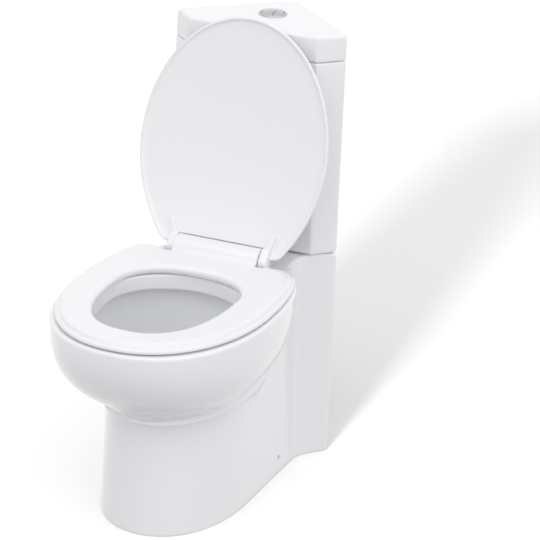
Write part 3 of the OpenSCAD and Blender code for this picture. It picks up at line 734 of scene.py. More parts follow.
def make_tank(material):
    """Open hollow casting from (height, inset) stations, up the outside and down the inside."""
    out = [(TANK_FOOT, 2.5), (TANK_FOOT + 0.7, 1.2), (TANK_FOOT + 2.5, 0), (TANK_FOOT + 6, 0)]
    out += [(z, 0) for z in (440, 500, 560, 620, 680, 740)]
    out += [(SEAM_Z - 4, 0), (SEAM_Z - 2, 0.25), (SEAM_Z - 0.6, 0.9), (SEAM_Z, 2.2)]
    floor_z = TANK_FOOT + TANK_FLOOR
    into = [(SEAM_Z, TANK_WALL - 2), (SEAM_Z - 2, TANK_WALL), (600, TANK_WALL)]
    into += [(floor_z + 12, TANK_WALL), (floor_z + 3, TANK_WALL + 3), (floor_z, TANK_WALL + 9)]
    loops = [tank_loop(z, d, TANK_CORNER) for z, d in out + into]
    return skin("cistern_tank_casting", loops, material)


def button_ring(loop, radius, z):
    """Round loop about the buttons' axis with a point towards each point of loop."""
    out = []
    for x, y, _ in loop:
        length = hypot(x, y - VALVE_Y)
        out.append((radius * x / length, VALVE_Y + radius * (y - VALVE_Y) / length, z))
    return out


def lid_row(outer, hole, share, z):
    """Loop part of the way from the lid's edge to the buttons' hole."""
    return [(mix(a[0], b[0], share), mix(a[1], b[1], share), z) for a, b in zip(outer, hole)]


def make_lid(material):
    """Closed casting: outside, top, the buttons' hole, and back under the lid to its lip."""
    out = [(LID_FOOT, 2.4), (LID_FOOT + 0.7, 0.9), (LID_FOOT + 2.4, 0), (LID_FOOT + 6, 0)]
    out += [(790, 0), (806, 0.1), (812, 0.3)]
    for k in range(10):
        t = pi / 2 * k / 9
        out.append((TOP_Z - LID_EDGE * (1 - sin(t)), 0.5 + LID_EDGE * (1 - cos(t))))
    loops = [tank_loop(z, d, LID_CORNER) for z, d in out]
    top = loops[-1]
    hole_r = BUTTON_R + BUTTON_GAP
    hole = button_ring(top, hole_r, TOP_Z)
    loops += [lid_row(top, hole, s, TOP_Z) for s in (0.04, 0.35, 0.7, 0.96)]
    hole_low = button_ring(top, hole_r, LID_UNDER)
    loops += [hole, hole_low]
    inside_top = [(x, y, LID_UNDER) for x, y, _ in tank_loop(SEAM_Z + 2, LID_LIP, TANK_CORNER)]
    loops += [lid_row(inside_top, hole_low, s, LID_UNDER) for s in (0.6, 0.0)]
    loops += [tank_loop(LID_FOOT + 1, LID_LIP, TANK_CORNER), tank_loop(LID_FOOT, LID_LIP - 3, TANK_CORNER)]
    return skin("cistern_lid_casting", loops, material, closed=True)


# ---------------------------------------------------------------- buttons
# radius, height over the lid and rounding of the bezel's section
BEZEL_SECTION = [
    (BEZEL_R - 5.1, -32, 0.3), (BEZEL_R - 5.1, -0.1, 0), (BEZEL_R, -0.1, 0.15), (BEZEL_R, 1.6, 1.1),
    (BEZEL_R - 1.8, 3.4, 1.2), (BEZEL_R - 4.6, 3.7, 0.9), (BUTTON_R + 0.05, 2.2, 0.4),
    (BUTTON_R, -20, 0.2), (BUTTON_R - 1.9, -20, 0.2), (BUTTON_R - 1.9, -32, 0.2)]


def make_bezel(material):
    profile = rounded_profile([(r, TOP_Z + height, rounding) for r, height, rounding in BEZEL_SECTION])
    return lathe("button_bezel_ring", profile, (0, VALVE_Y), material, 128)


def button_face(x_low, x_high, steps=72):
    """Outline of one button: a disc about the axis cut off at x_low or x_high."""
    r = BUTTON_R - BUTTON_GAP
    points = []
    cut = x_high if x_high < r else x_low
    reach = acos(cut / r)
    first, last = (reach, 2 * pi - reach) if x_high < r else (-reach, reach)
    for k in range(steps + 1):
        t = mix(first, last, k / steps)
        points.append((r * cos(t), r * sin(t)))
    chord = [(points[-1][0], mix(points[-1][1], points[0][1], k / 24)) for k in range(1, 24)]
    return points + chord


def button_row(face, inset, share, limit=None):
    """The button's outline drawn in, on its domed top, or at a height limit."""
    middle = sum(p[0] for p in face) / len(face)
    out = []
    for x, y in inset_loop(face, inset):
        x, y = mix(middle, x, share), y * share
        dome = TOP_Z + 3.0 + 4.2 * (1 - (x * x + y * y) / BUTTON_R ** 2)
        out.append((x, y + VALVE_Y, dome if limit is None else min(limit, dome)))
    return out


def make_button(name, x_low, x_high, rod_x, material):
    """Domed button with soft edges, and its push rod down to the valve."""
    face = button_face(x_low, x_high)
    edge = 1.3
    loops = [button_row(face, 0.3, 1, TOP_Z - 10), button_row(face, 0, 1, TOP_Z - 9.7)]
    loops.append(button_row(face, 0, 1, TOP_Z + 1.2))
    for k in range(1, 7):
        t = pi / 2 * k / 6
        low = button_row(face, edge * (1 - cos(t)), 1)
        loops.append([(x, y, z - edge * (1 - sin(t))) for x, y, z in low])
    loops += [button_row(face, edge, share) for share in (0.97, 0.9, 0.8, 0.68, 0.55, 0.42, 0.3, 0.18, 0.07)]
    button = skin(name, loops, material)
    start, end = [(rod_x, VALVE_Y, z) for z in (695.5, TOP_Z - 9.8)]
    combine(button, rod("push_rod", start, end, 2.5, material))
    return button


# ---------------------------------------------------------------- seat
# from which edge (0 outer, 1 inner), how far in, height over the seat's foot
SEAT_SECTION = [
    (0, 4.5, 0.0), (0, 1.6, 0.4), (0, 0.2, 1.9), (0, 0.0, 3.9), (0, 0.5, 5.9), (0, 1.9, 7.5), (0, 3.6, 8.3),
    (0, 5.2, 8.6), (0, 6.3, 8.9), (0, 7.2, 10.2), (0, 8.0, 12.4), (0, 9.6, 14.6), (0, 12.4, 16.0),
    (0, 17, 16.5), (0, 24, 16.5), (1, 16, 16.5), (1, 9, 16.3), (1, 4.6, 15.4), (1, 1.7, 13.4),
    (1, 0.2, 10.2), (1, 0, 7), (1, 0.8, 2.8), (1, 2.4, 0.6), (1, 5, 0)]
SEAT_POWERS = (0.945, 0.86)
OPENING_POWER = 0.84


def signed_power(v, p):
    return abs(v) ** p if v >= 0 else -abs(v) ** p


def soft_limit(y, limit, shoulder):
    """A value that eases towards a limit once it is within the shoulder of it."""
    over = y - (limit - shoulder)
    return limit - shoulder * exp(-over / shoulder) if over > 0 else y


def seat_outer(a, d):
    """Point of the seat's outer outline at angle a, drawn in by d and squared off at the rear."""
    c, s = cos(a), sin(a)
    power = SEAT_POWERS[0] if c > 0 else SEAT_POWERS[1]
    reach = SEAT_TIP - d if c > 0 else SEAT_TAIL - d
    y = SEAT_MID_Y - reach * signed_power(c, power)
    return ((SEAT_WIDTH / 2 - d) * signed_power(s, power), soft_limit(y, SEAT_REAR_Y - d, SEAT_SHOULDER))


def seat_inner(a, d):
    """Point of the seat's opening at angle a, widened by d."""
    c, s = signed_power(cos(a), OPENING_POWER), signed_power(sin(a), OPENING_POWER)
    reach = OPENING_TIP + d if c > 0 else OPENING_TAIL + d
    return ((OPENING_WIDTH / 2 + d) * s, OPENING_MID_Y - reach * c)


def ring_angles(n):
    """Even angles all the way round."""
    return [2 * pi * i / n for i in range(n)]


def make_seat_skin(material):
    rows = [[] for _ in SEAT_SECTION]
    for a in ring_angles(SEAT_STATIONS):
        for row, (edge, inset, height) in zip(rows, SEAT_SECTION):
            x, y = seat_inner(a, inset) if edge else seat_outer(a, inset)
            row.append((x, y, SEAT_FOOT + height))
    return skin("seat_ring_moulding", rows, material, closed=True)


# barrel's top behind and before the hinge, as distances from its axis, down to the seat
BARREL_TOP = [
    (11.4, 19.8), (7, 22.5), (0, 23.3), (-7, 22.3), (-13, 19.7), (-18, 15.4), (-20.2, 10.0),
    (-21.6, 5.6), (-24.5, 2.2), (-29, 0.2), (-35, -1.0), (-41, -1.6)]
BARREL_R = 16.8
POST_ROOM_R = 13
POST_WAY_R = 34


def from_hinge(points):
    return [(HINGE_Y + y, HINGE_Z + z) for y, z in points]


def barrel_profile():
    """Side view of the seat's hinge barrel: round at the axis, then hollowed down to the seat."""
    points = arc(HINGE_Y, HINGE_Z, BARREL_R, range(-75, 46, 8))
    curved = [tuple(p) for p in curve_rows([points[-1]] + from_hinge(BARREL_TOP), 3)][1:]
    low = [(HINGE_Y - 41, SEAT_FOOT + 3), (HINGE_Y - 34, SEAT_FOOT + 0.6), (HINGE_Y - 12, SEAT_FOOT + 0.4)]
    return points + curved + low


def make_seat(material):
    """Seat ring with its barrel, and the rooms for the hinge posts and the cover's lugs."""
    seat = make_seat_skin(material)
    barrel = extruded("barrel", barrel_profile(), -BARREL_HALF, BARREL_HALF, 1.6, material)
    combine(seat, barrel)
    for side in (-1, 1):
        low, high = sorted((side * POST_IN, side * POST_OUT))
        start, end = [(x, HINGE_Y, HINGE_Z) for x in (low, high)]
        combine(seat, rod("post_room", start, end, POST_ROOM_R, material), "DIFFERENCE")
        sector = [(HINGE_Y, HINGE_Z)] + arc(HINGE_Y, HINGE_Z, POST_WAY_R, range(-132, 49, 6))
        combine(seat, extruded("post_way", sector, low, high, 0, material), "DIFFERENCE")
        combine(seat, lug_room(side), "DIFFERENCE")
    return seat


# ---------------------------------------------------------------- cover
# inset from the edge and height over the lip: inside, from the middle out to the lip, then back over the top
COVER_INSIDE = [(40, 5.0), (24, 4.4), (14, 3.7), (9, 2.8), (6.6, 1.7), (5.6, 0.7), (4.6, 0.15)]
COVER_OUTSIDE = [
    (2.6, 0.0), (1.2, 0.5), (0.3, 1.7), (0, 3.4), (0.4, 5.0), (1.8, 6.4), (4.5, 7.3), (10, 7.9), (20, 8.3),
    (40, 9.0)]
LUG_R = 14.6
LUG_ROOM_R = 15.9
LUG_CORNER = 1.6


def cover_edge(a, d):
    """Point of the closed cover's outline at angle a, drawn in by d."""
    c, s = cos(a), sin(a)
    power = 1.0 if c > 0 else COVER_TAIL_POWER
    reach = COVER_MID_Y - COVER_TIP - d if c > 0 else COVER_TAIL - d
    y = COVER_MID_Y - reach * signed_power(c, power)
    return ((COVER_HALF - d) * signed_power(s, power), soft_limit(y, COVER_REAR_Y - d, COVER_SHOULDER))


def cover_ring(d, height):
    return [(*cover_edge(a, d), COVER_RIM + height) for a in ring_angles(SEAT_STATIONS)]


def cover_flat(share, height):
    """Loop inside the cover's rounded edge, a share of the way out from its middle."""
    out = []
    middle = COVER_MID_Y + 10
    for x, y, _ in cover_ring(40, 0):
        out.append((x * share, middle + (y - middle) * share, COVER_RIM + height))
    return out


def make_cover(material):
    """Cover with its lugs and their ribs, drawn closed and then turned open."""
    shares = (0.03, 0.12, 0.25, 0.38, 0.5, 0.62, 0.74, 0.86, 0.95)
    inside = [cover_flat(f, mix(COVER_DEPTH - 4, 5.0, f * f)) for f in shares]
    outside = [cover_flat(f, mix(COVER_DEPTH, 9.0, f * f)) for f in reversed(shares)]
    loops = inside + [cover_ring(*q) for q in curve_rows(COVER_INSIDE, 2)]
    loops += [cover_ring(*q) for q in curve_rows(COVER_OUTSIDE, 2)] + outside
    cover = skin("cover_moulding", loops, material)
    rear, low, high = COVER_NOTCH_Y + 60, COVER_RIM - 20, COVER_RIM + 40
    notch = [(COVER_NOTCH_Y, low), (rear, low), (rear, high), (COVER_NOTCH_Y, high)]
    combine(cover, extruded("notch", notch, -LUG_IN - 1, LUG_IN + 1, 0, material), "DIFFERENCE")
    profile = arc(HINGE_Y, HINGE_Z, LUG_R, range(-110, 91, 10))
    profile += [(HINGE_Y - 9, HINGE_Z + 13.2), (COVER_NOTCH_Y + 2, HINGE_Z + 7.5)]
    profile += [(COVER_NOTCH_Y + 1, HINGE_Z - 2.4), (COVER_NOTCH_Y + 3.5, HINGE_Z - 3.6)]
    profile.append((HINGE_Y - 12, HINGE_Z - 9.2))
    for side in (-1, 1):
        low, high = sorted((side * LUG_IN, side * (LUG_IN + LUG_WIDTH)))
        combine(cover, extruded("lug", profile, low, high, LUG_CORNER, material))
        combine(cover, lug_rib(side, material))
    turn_open(cover)
    return cover


def turn_open(piece):
    """Turns a piece drawn on the closed cover up with it."""
    pin = Vector((0, HINGE_Y, HINGE_Z)) * MM
    turn = Matrix.Translation(pin) @ Matrix.Rotation(-COVER_OPEN, 4, "X") @ Matrix.Translation(-pin)
    piece.data.transform(turn)


def lug_rib(side, material):
    """Rib that runs from the lug up the inside of the cover, leaning outwards."""
    loops = []
    for k in range(9):
        t = k / 8
        inner = LUG_IN + mix(0.4, 13, t)
        outer = LUG_IN + mix(LUG_WIDTH - 0.4, 24, t)
        y = COVER_NOTCH_Y + mix(6, -23, t)
        under = COVER_RIM + mix(0.7, 1.6, t)
        top = COVER_RIM + 7.0
        low, cut = under + LUG_CORNER, LUG_CORNER * 0.3
        section = [(inner, top), (outer, top), (outer, low), (outer - cut, under + cut)]
        section += [(outer - LUG_CORNER, under), (inner + LUG_CORNER, under)]
        section += [(inner + cut, under + cut), (inner, low)]
        loops.append([(side * x, y, z) for x, z in section])
    return skin("lug_rib", loops, material)


def lug_room(side):
    """Pocket in the seat's rear corner where the cover's lug turns."""
    low, high = sorted((side * BARREL_HALF, side * (LUG_IN + LUG_WIDTH + 1.5)))
    profile = arc(HINGE_Y, HINGE_Z, LUG_ROOM_R, range(-112, 130, 8))
    profile += [(COVER_NOTCH_Y - 0.5, HINGE_Z + 9.5), (COVER_NOTCH_Y - 0.5, HINGE_Z - 4.5)]
    return extruded("lug_room", profile, low, high, 0, None)


def make_side_cap(side, material):
    """Small press-in cap in the pedestal's side hole, dished in the middle."""
    face, inner = side * 125.0, side * 117.0
    depth_in = 7.4
    profile = [(0.02, 0.0), (3.0, 0.0), (3.7, 0.5), (3.9, 1.3), (3.9, 7.0), (3.0, depth_in), (0.02, depth_in)]
    loops = []
    for r, depth in profile:
        x = mix(face, inner, depth / depth_in)
        dish = 0.7 * side * (1 - min(r / 3.0, 1)) if depth == 0 else 0.0
        loops.append([(x - dish, y, z) for y, z in round_points(SIDE_HOLE_Y, SIDE_HOLE_Z, r, 32)])
    return skin("side_cap_plug", loops, material)


# ---------------------------------------------------------------- repeated small forms
NUMBER = "NodeSocketFloat"
VECTOR = "NodeSocketVector"
COLOR = "NodeSocketColor"
WHOLE = "NodeSocketInt"
FINISH = "NodeSocketMaterial"


def input_socket(group, label, kind, value=None):
    socket = group.interface.new_socket(label, in_out="INPUT", socket_type=kind)
    if value is not None:
        socket.default_value = value
    return socket


def geometry_tree(name, sockets):
    """An empty Geometry Nodes tree, and the node that brings its named inputs in."""
    group = bpy.data.node_groups.new(name, "GeometryNodeTree")
    for label, kind in sockets:
        input_socket(group, label, kind)
    group.interface.new_socket("Geometry", in_out="OUTPUT", socket_type="NodeSocketGeometry")
    return group, group.nodes.new("NodeGroupInput")


def thread_tree():
    """Screw thread: a coiled ridge, copied along a row of places."""
    sockets = [("Radius", NUMBER), ("Length", NUMBER), ("Turns", NUMBER), ("Ridge", NUMBER)]
    sockets += [("First place", VECTOR), ("Spacing", VECTOR), ("Copies", WHOLE), ("Finish", FINISH)]
    group, enter = geometry_tree("screw_thread", sockets)
    node = group.nodes.new
    link = group.links.new
    coil = node("GeometryNodeCurveSpiral")
    coil.inputs["Resolution"].default_value = 20
    link(enter.outputs["Turns"], coil.inputs["Rotations"])
    link(enter.outputs["Radius"], coil.inputs["Start Radius"])
    link(enter.outputs["Radius"], coil.inputs["End Radius"])
    link(enter.outputs["Length"], coil.inputs["Height"])
    ridge = node("GeometryNodeCurvePrimitiveCircle")
    ridge.inputs["Resolution"].default_value = 4
    link(enter.outputs["Ridge"], ridge.inputs["Radius"])
    sweep = node("GeometryNodeCurveToMesh")
    sweep.inputs["Fill Caps"].default_value = True
    link(coil.outputs["Curve"], sweep.inputs["Curve"])
    link(ridge.outputs["Curve"], sweep.inputs["Profile Curve"])
    row = node("GeometryNodeMeshLine")
    link(enter.outputs["Copies"], row.inputs["Count"])
    link(enter.outputs["First place"], row.inputs["Start Location"])
    link(enter.outputs["Spacing"], row.inputs["Offset"])
    copies = node("GeometryNodeInstanceOnPoints")
    link(row.outputs["Mesh"], copies.inputs["Points"])
    link(sweep.outputs["Mesh"], copies.inputs["Instance"])
    close_tree(group, copies.outputs["Instances"], enter.outputs["Finish"])
    return group


def grip_tree():
    """Grip ribs: short bars standing round a nut or a cap."""
    sockets = [("Radius", NUMBER), ("Rib size", VECTOR), ("Ribs", WHOLE)]
    sockets += [("Centre", VECTOR), ("Finish", FINISH)]
    group, enter = geometry_tree("grip_ribs", sockets)
    node = group.nodes.new
    link = group.links.new
    ring = node("GeometryNodeMeshCircle")
    link(enter.outputs["Ribs"], ring.inputs["Vertices"])
    link(enter.outputs["Radius"], ring.inputs["Radius"])
    bar = node("GeometryNodeMeshCube")
    link(enter.outputs["Rib size"], bar.inputs["Size"])
    place = node("GeometryNodeInputPosition")
    aim = node("FunctionNodeAlignRotationToVector")
    aim.axis = "X"
    link(place.outputs["Position"], aim.inputs["Vector"])
    copies = node("GeometryNodeInstanceOnPoints")
    link(ring.outputs["Mesh"], copies.inputs["Points"])
    link(bar.outputs["Mesh"], copies.inputs["Instance"])
    link(aim.outputs["Rotation"], copies.inputs["Rotation"])
    move = node("GeometryNodeTransform")
    link(copies.outputs["Instances"], move.inputs["Geometry"])
    link(enter.outputs["Centre"], move.inputs["Translation"])
    close_tree(group, move.outputs["Geometry"], enter.outputs["Finish"])
    return group


def close_tree(group, result, finish):
    """Ends a tree: copies made real, then the finish set."""
    real = group.nodes.new("GeometryNodeRealizeInstances")
    paint = group.nodes.new("GeometryNodeSetMaterial")
    leave = group.nodes.new("NodeGroupOutput")
    group.links.new(result, real.inputs["Geometry"])
    group.links.new(real.outputs["Geometry"], paint.inputs["Geometry"])
    group.links.new(finish, paint.inputs["Material"])
    group.links.new(paint.outputs["Geometry"], leave.inputs["Geometry"])


def grown(name, tree, values, material):
    """A plain mesh object made by a tree with the given input values, whose lengths are in metres."""
    mesh = bpy.data.meshes.new(name)
    piece = bpy.data.objects.new(name, mesh)
    bpy.context.scene.collection.objects.link(piece)
    step = piece.modifiers.new(name, "NODES")
    step.node_group = tree
    for item in tree.interface.items_tree:
        if item.in_out == "INPUT" and item.name in values:
            step[item.identifier] = values[item.name]
        elif item.in_out == "INPUT" and item.name == "Finish":
            step[item.identifier] = material
    seen = piece.evaluated_get(bpy.context.evaluated_depsgraph_get())
    piece.data = bpy.data.meshes.new_from_object(seen)
    piece.modifiers.clear()
    bpy.data.meshes.remove(mesh)
    tidy_mesh(piece, 30)
    return piece


def make_thread(name, tree, radius, z_low, length, pitch, places, material):
    """Thread on one or two upright bars at places, given as (x, y) points."""
    ridge = pitch * 0.32
    first = Vector((*places[0], z_low)) * MM
    spacing = Vector((*places[-1], z_low)) * MM - first
    values = {
        "Radius": radius * MM, "Length": length * MM, "Turns": length / pitch, "Ridge": ridge * MM,
        "First place": first, "Spacing": spacing, "Copies": len(places)}
    return grown(name, tree, values, material)


# ---------------------------------------------------------------- shader groups
def shader_group(name, inputs, outputs):
    """An empty shader group with named sockets, and its nodes for what comes in and what goes out."""
    group = bpy.data.node_groups.new(name, "ShaderNodeTree")
    for label, kind, value in inputs:
        input_socket(group, label, kind, value)
    for label, kind in outputs:
        group.interface.new_socket(label, in_out="OUTPUT", socket_type=kind)
    return group, group.nodes.new("NodeGroupInput"), group.nodes.new("NodeGroupOutput")


def noise_at(group, vector, scale, detail=3.0, rough=0.5, warp=0.0):
    """A noise texture's value, at a scale that is a number or a socket."""
    noise = group.nodes.new("ShaderNodeTexNoise")
    noise.inputs["Detail"].default_value = detail
    noise.inputs["Roughness"].default_value = rough
    noise.inputs["Distortion"].default_value = warp
    group.links.new(vector, noise.inputs["Vector"])
    if isinstance(scale, float):
        noise.inputs["Scale"].default_value = scale
    else:
        group.links.new(scale, noise.inputs["Scale"])
    return noise.outputs["Fac"]


def maths(group, kind, a, b, clamp=False):
    """A maths node on two sockets or numbers."""
    node = group.nodes.new("ShaderNodeMath")
    node.operation = kind
    node.use_clamp = clamp
    for socket, value in zip(node.inputs, (a, b)):
        if isinstance(value, (int, float)):
            socket.default_value = value
        else:
            group.links.new(value, socket)
    return node.outputs[0]


def waviness_group():
    """Height of a surface that isn't quite flat: long slow waves and a short ripple."""
    group, enter, leave = shader_group(
        "surface_waviness",
        (("Vector", VECTOR, None), ("Long waves", NUMBER, 9.0), ("Ripple", NUMBER, 90.0),
         ("Ripple share", NUMBER, 0.25)),
        (("Height", NUMBER),))
    slow = noise_at(group, enter.outputs["Vector"], enter.outputs["Long waves"], 1.0)
    quick = noise_at(group, enter.outputs["Vector"], enter.outputs["Ripple"], 2.0)
    fine = maths(group, "MULTIPLY", quick, enter.outputs["Ripple share"])
    group.links.new(maths(group, "ADD", slow, fine), leave.inputs["Height"])
    return group


def tone_group():
    """A colour with a slow cloudy change of tone towards a tint."""
    group, enter, leave = shader_group(
        "tone_variation",
        (("Vector", VECTOR, None), ("Color", COLOR, (0.8, 0.8, 0.8, 1)),
         ("Tint", COLOR, (0.8, 0.79, 0.76, 1)), ("Cloud size", NUMBER, 4.0), ("Amount", NUMBER, 0.05)),
        (("Color", COLOR),))
    cloud = noise_at(group, enter.outputs["Vector"], enter.outputs["Cloud size"], 4.0, 0.55, 0.3)
    share = maths(group, "MULTIPLY", cloud, enter.outputs["Amount"], True)
    blend = group.nodes.new("ShaderNodeMix")
    blend.data_type = "RGBA"
    group.links.new(share, blend.inputs[0])
    group.links.new(enter.outputs["Color"], blend.inputs[6])
    group.links.new(enter.outputs["Tint"], blend.inputs[7])
    group.links.new(blend.outputs[2], leave.inputs["Color"])
    return group


def smudge_group():
    """Roughness between clean and smudged, in soft patches with a little fine scatter."""
    group, enter, leave = shader_group(
        "smudges",
        (("Vector", VECTOR, None), ("Clean", NUMBER, 0.08), ("Smudged", NUMBER, 0.2),
         ("Patch size", NUMBER, 12.0)),
        (("Roughness", NUMBER), ("Mask", NUMBER)))
    patch = noise_at(group, enter.outputs["Vector"], enter.outputs["Patch size"], 3.0, 0.6, 0.8)
    grain = noise_at(group, enter.outputs["Vector"], 260.0, 2.0)
    soft = group.nodes.new("ShaderNodeMapRange")
    soft.interpolation_type = "SMOOTHSTEP"
    soft.inputs["From Min"].default_value = 0.45
    soft.inputs["From Max"].default_value = 0.75
    group.links.new(maths(group, "ADD", patch, maths(group, "MULTIPLY", grain, 0.08)), soft.inputs["Value"])
    span = maths(group, "SUBTRACT", enter.outputs["Smudged"], enter.outputs["Clean"])
    rise = maths(group, "MULTIPLY", soft.outputs["Result"], span)
    group.links.new(maths(group, "ADD", enter.outputs["Clean"], rise), leave.inputs["Roughness"])
    group.links.new(soft.outputs["Result"], leave.inputs["Mask"])
    return group


def dust_group():
    """Mask of fine dust on faces that look up, patchy and thin."""
    group, enter, leave = shader_group(
        "settled_dust",
        (("Vector", VECTOR, None), ("Normal", VECTOR, None), ("Amount", NUMBER, 0.1)),
        (("Mask", NUMBER),))
    axes = group.nodes.new("ShaderNodeSeparateXYZ")
    group.links.new(enter.outputs["Normal"], axes.inputs["Vector"])
    up = maths(group, "POWER", maths(group, "MAXIMUM", axes.outputs["Z"], 0.0), 3.0)
    patch = noise_at(group, enter.outputs["Vector"], 35.0, 5.0, 0.65)
    layer = maths(group, "MULTIPLY", maths(group, "MULTIPLY", up, patch), enter.outputs["Amount"])
    group.links.new(layer, leave.inputs["Mask"])
    return group


# ---------------------------------------------------------------- materials
WAVINESS = waviness_group()
TONE = tone_group()
SMUDGES = smudge_group()
DUST = dust_group()


def placed(material, group, vector, values):
    """A shader group placed in a material with its own values."""
    node = material.node_tree.nodes.new("ShaderNodeGroup")
    node.node_tree = group
    material.node_tree.links.new(vector, node.inputs["Vector"])
    for label, value in values.items():
        node.inputs[label].default_value = value
    return node


def finish_material(name, color, tint, tone, rough, wave, bump, dust=0.0):
    """A finish with cloudy tone, smudged gloss and a bumpy surface; returns the material and its shader.

    tone holds cloud size and amount; rough holds clean, smudged and patch size; wave holds long waves,
    ripple and ripple share; bump holds strength, and distance in metres.
    """
    material = bpy.data.materials.new(name)
    material.use_nodes = True
    tree = material.node_tree
    shader = tree.nodes["Principled BSDF"]
    place = tree.nodes.new("ShaderNodeTexCoord").outputs["Object"]
    colors = {"Color": (*color, 1), "Tint": (*tint, 1)}
    cloud = placed(material, TONE, place, colors | dict(zip(("Cloud size", "Amount"), tone)))
    patches = placed(material, SMUDGES, place, dict(zip(("Clean", "Smudged", "Patch size"), rough)))
    waves = placed(material, WAVINESS, place, dict(zip(("Long waves", "Ripple", "Ripple share"), wave)))
    relief = tree.nodes.new("ShaderNodeBump")
    relief.inputs["Strength"].default_value = bump[0]
    relief.inputs["Distance"].default_value = bump[1]
    tree.links.new(waves.outputs["Height"], relief.inputs["Height"])
    tree.links.new(relief.outputs["Normal"], shader.inputs["Normal"])
    tree.links.new(patches.outputs["Roughness"], shader.inputs["Roughness"])
    final = cloud.outputs["Color"]
    if dust > 0:
        facing = tree.nodes.new("ShaderNodeNewGeometry").outputs["Normal"]
        layer = placed(material, DUST, place, {"Amount": dust})
        tree.links.new(facing, layer.inputs["Normal"])
        blend = tree.nodes.new("ShaderNodeMix")
        blend.data_type = "RGBA"
        blend.inputs[7].default_value = DUST_COLOR
        tree.links.new(layer.outputs["Mask"], blend.inputs[0])
        tree.links.new(final, blend.inputs[6])
        final = blend.outputs[2]
    tree.links.new(final, shader.inputs["Base Color"])
    return material, shader


def glaze_material():
    """White fired glaze: glassy coat over a body with slow waves and a faint cloudy tone."""
    material, shader = finish_material(
        "glaze_white", GLAZE_COLOR, (0.86, 0.86, 0.86), tone=(3.0, 0.10), rough=(0.10, 0.17, 7.0),
        wave=(8.0, 70.0, 0.06), bump=(0.35, 0.0012), dust=0.10)
    shader.inputs["Coat Weight"].default_value = 0.6
    shader.inputs["Coat Roughness"].default_value = 0.04
    shader.inputs["IOR"].default_value = 1.5
    return material


def seat_material():
    """Hard gloss moulding with a very fine orange-peel surface and light hand marks."""
    material, shader = finish_material(
        "seat_gloss_white", SEAT_COLOR, (0.83, 0.83, 0.84), tone=(5.0, 0.08), rough=(0.13, 0.24, 9.0),
        wave=(14.0, 480.0, 0.10), bump=(0.30, 0.0004), dust=0.06)
    shader.inputs["Coat Weight"].default_value = 0.35
    shader.inputs["Coat Roughness"].default_value = 0.08
    return material


def chrome_material():
    """Bright plating with water spots and finger marks."""
    material, shader = finish_material(
        "chrome_plate", CHROME_COLOR, (0.5, 0.5, 0.52), tone=(60.0, 0.12), rough=(0.05, 0.16, 55.0),
        wave=(45.0, 700.0, 0.1), bump=(0.15, 0.0002))
    shader.inputs["Metallic"].default_value = 1.0
    return material


def moulded_material(name, color, tint):
    """Satin moulded plastic with a fine grain and faint flow marks."""
    material, shader = finish_material(
        name, color, tint, tone=(18.0, 0.3), rough=(0.32, 0.5, 25.0),
        wave=(30.0, 1100.0, 0.5), bump=(0.35, 0.0003), dust=0.25)
    shader.inputs["IOR"].default_value = 1.47
    return material


def rubber_material():
    """Black washer rubber, dull, with a bloom of pale powder."""
    return finish_material(
        "washer_rubber", (0.028, 0.028, 0.030), (0.11, 0.11, 0.11), tone=(40.0, 0.6), rough=(0.6, 0.85, 40.0),
        wave=(60.0, 800.0, 0.6), bump=(0.5, 0.0004), dust=0.3)[0]


def buffer_material():
    """Soft translucent white buffer."""
    material, shader = finish_material(
        "buffer_soft_white", (0.80, 0.80, 0.78), (0.66, 0.64, 0.58), tone=(50.0, 0.4),
        rough=(0.45, 0.6, 60.0), wave=(50.0, 900.0, 0.3), bump=(0.3, 0.0003))
    shader.inputs["Subsurface Weight"].default_value = 0.25
    shader.inputs["Subsurface Radius"].default_value = (0.004, 0.003, 0.003)
    return material


def plated_material(name, color, tint, clean):
    """Plated or drawn metal: a fine grain and dull patches."""
    material, shader = finish_material(
        name, color, tint, tone=(70.0, 0.5), rough=(clean, clean + 0.25, 70.0),
        wave=(80.0, 1400.0, 0.5), bump=(0.25, 0.0002), dust=0.15)
    shader.inputs["Metallic"].default_value = 1.0
    return material


# ---------------------------------------------------------------- finishes by slot
def slot_materials():
    return {
        "glaze": glaze_material(),
        "seat_plastic": seat_material(),
        "chrome": chrome_material(),
        "valve_plastic": moulded_material("valve_white", (0.78, 0.78, 0.75), (0.68, 0.67, 0.62)),
        "valve_grey": moulded_material("valve_grey", (0.26, 0.28, 0.31), (0.20, 0.21, 0.23)),
        "black_rubber": rubber_material(),
        "soft_buffer": buffer_material(),
        "zinc_steel": plated_material("zinc_plate", (0.56, 0.57, 0.60), (0.38, 0.38, 0.40), 0.28),
        "brass": plated_material("nut_brass", (0.66, 0.49, 0.22), (0.42, 0.30, 0.13), 0.30),
    }


def dress_nodes(materials):
    """Every CAD node gets the finish of its slot."""
    for part in frame["record"]["subparts"]:
        node = frame["nodes"][part["node"]]
        for place in node.material_slots:
            place.material = materials[part["material_slot"]]


def settle(piece, body, slot_name, *nodes):
    """A finished piece rides on its body and stands for its CAD nodes."""
    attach(piece, body)
    if nodes:
        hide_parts(*nodes)


def build_ceramics(materials):
    glaze = materials["glaze"]
    settle(make_pan(glaze), "base", "glaze", "pan")
    settle(make_tank(glaze), "base", "glaze", "cistern_tank")
    settle(make_lid(glaze), "lid", "glaze", "cistern_lid")


def build_buttons(materials):
    chrome = materials["chrome"]
    settle(make_bezel(chrome), "lid", "chrome", "button_bezel")
    full = make_button("full_flush_plate", -BUTTON_R, SPLIT_X - SPLIT_GAP, -2.0, chrome)
    settle(full, "full_button", "chrome", "full_flush_button")
    half = make_button("half_flush_plate", SPLIT_X + SPLIT_GAP, BUTTON_R, 13.0, chrome)
    settle(half, "half_button", "chrome", "half_flush_button")


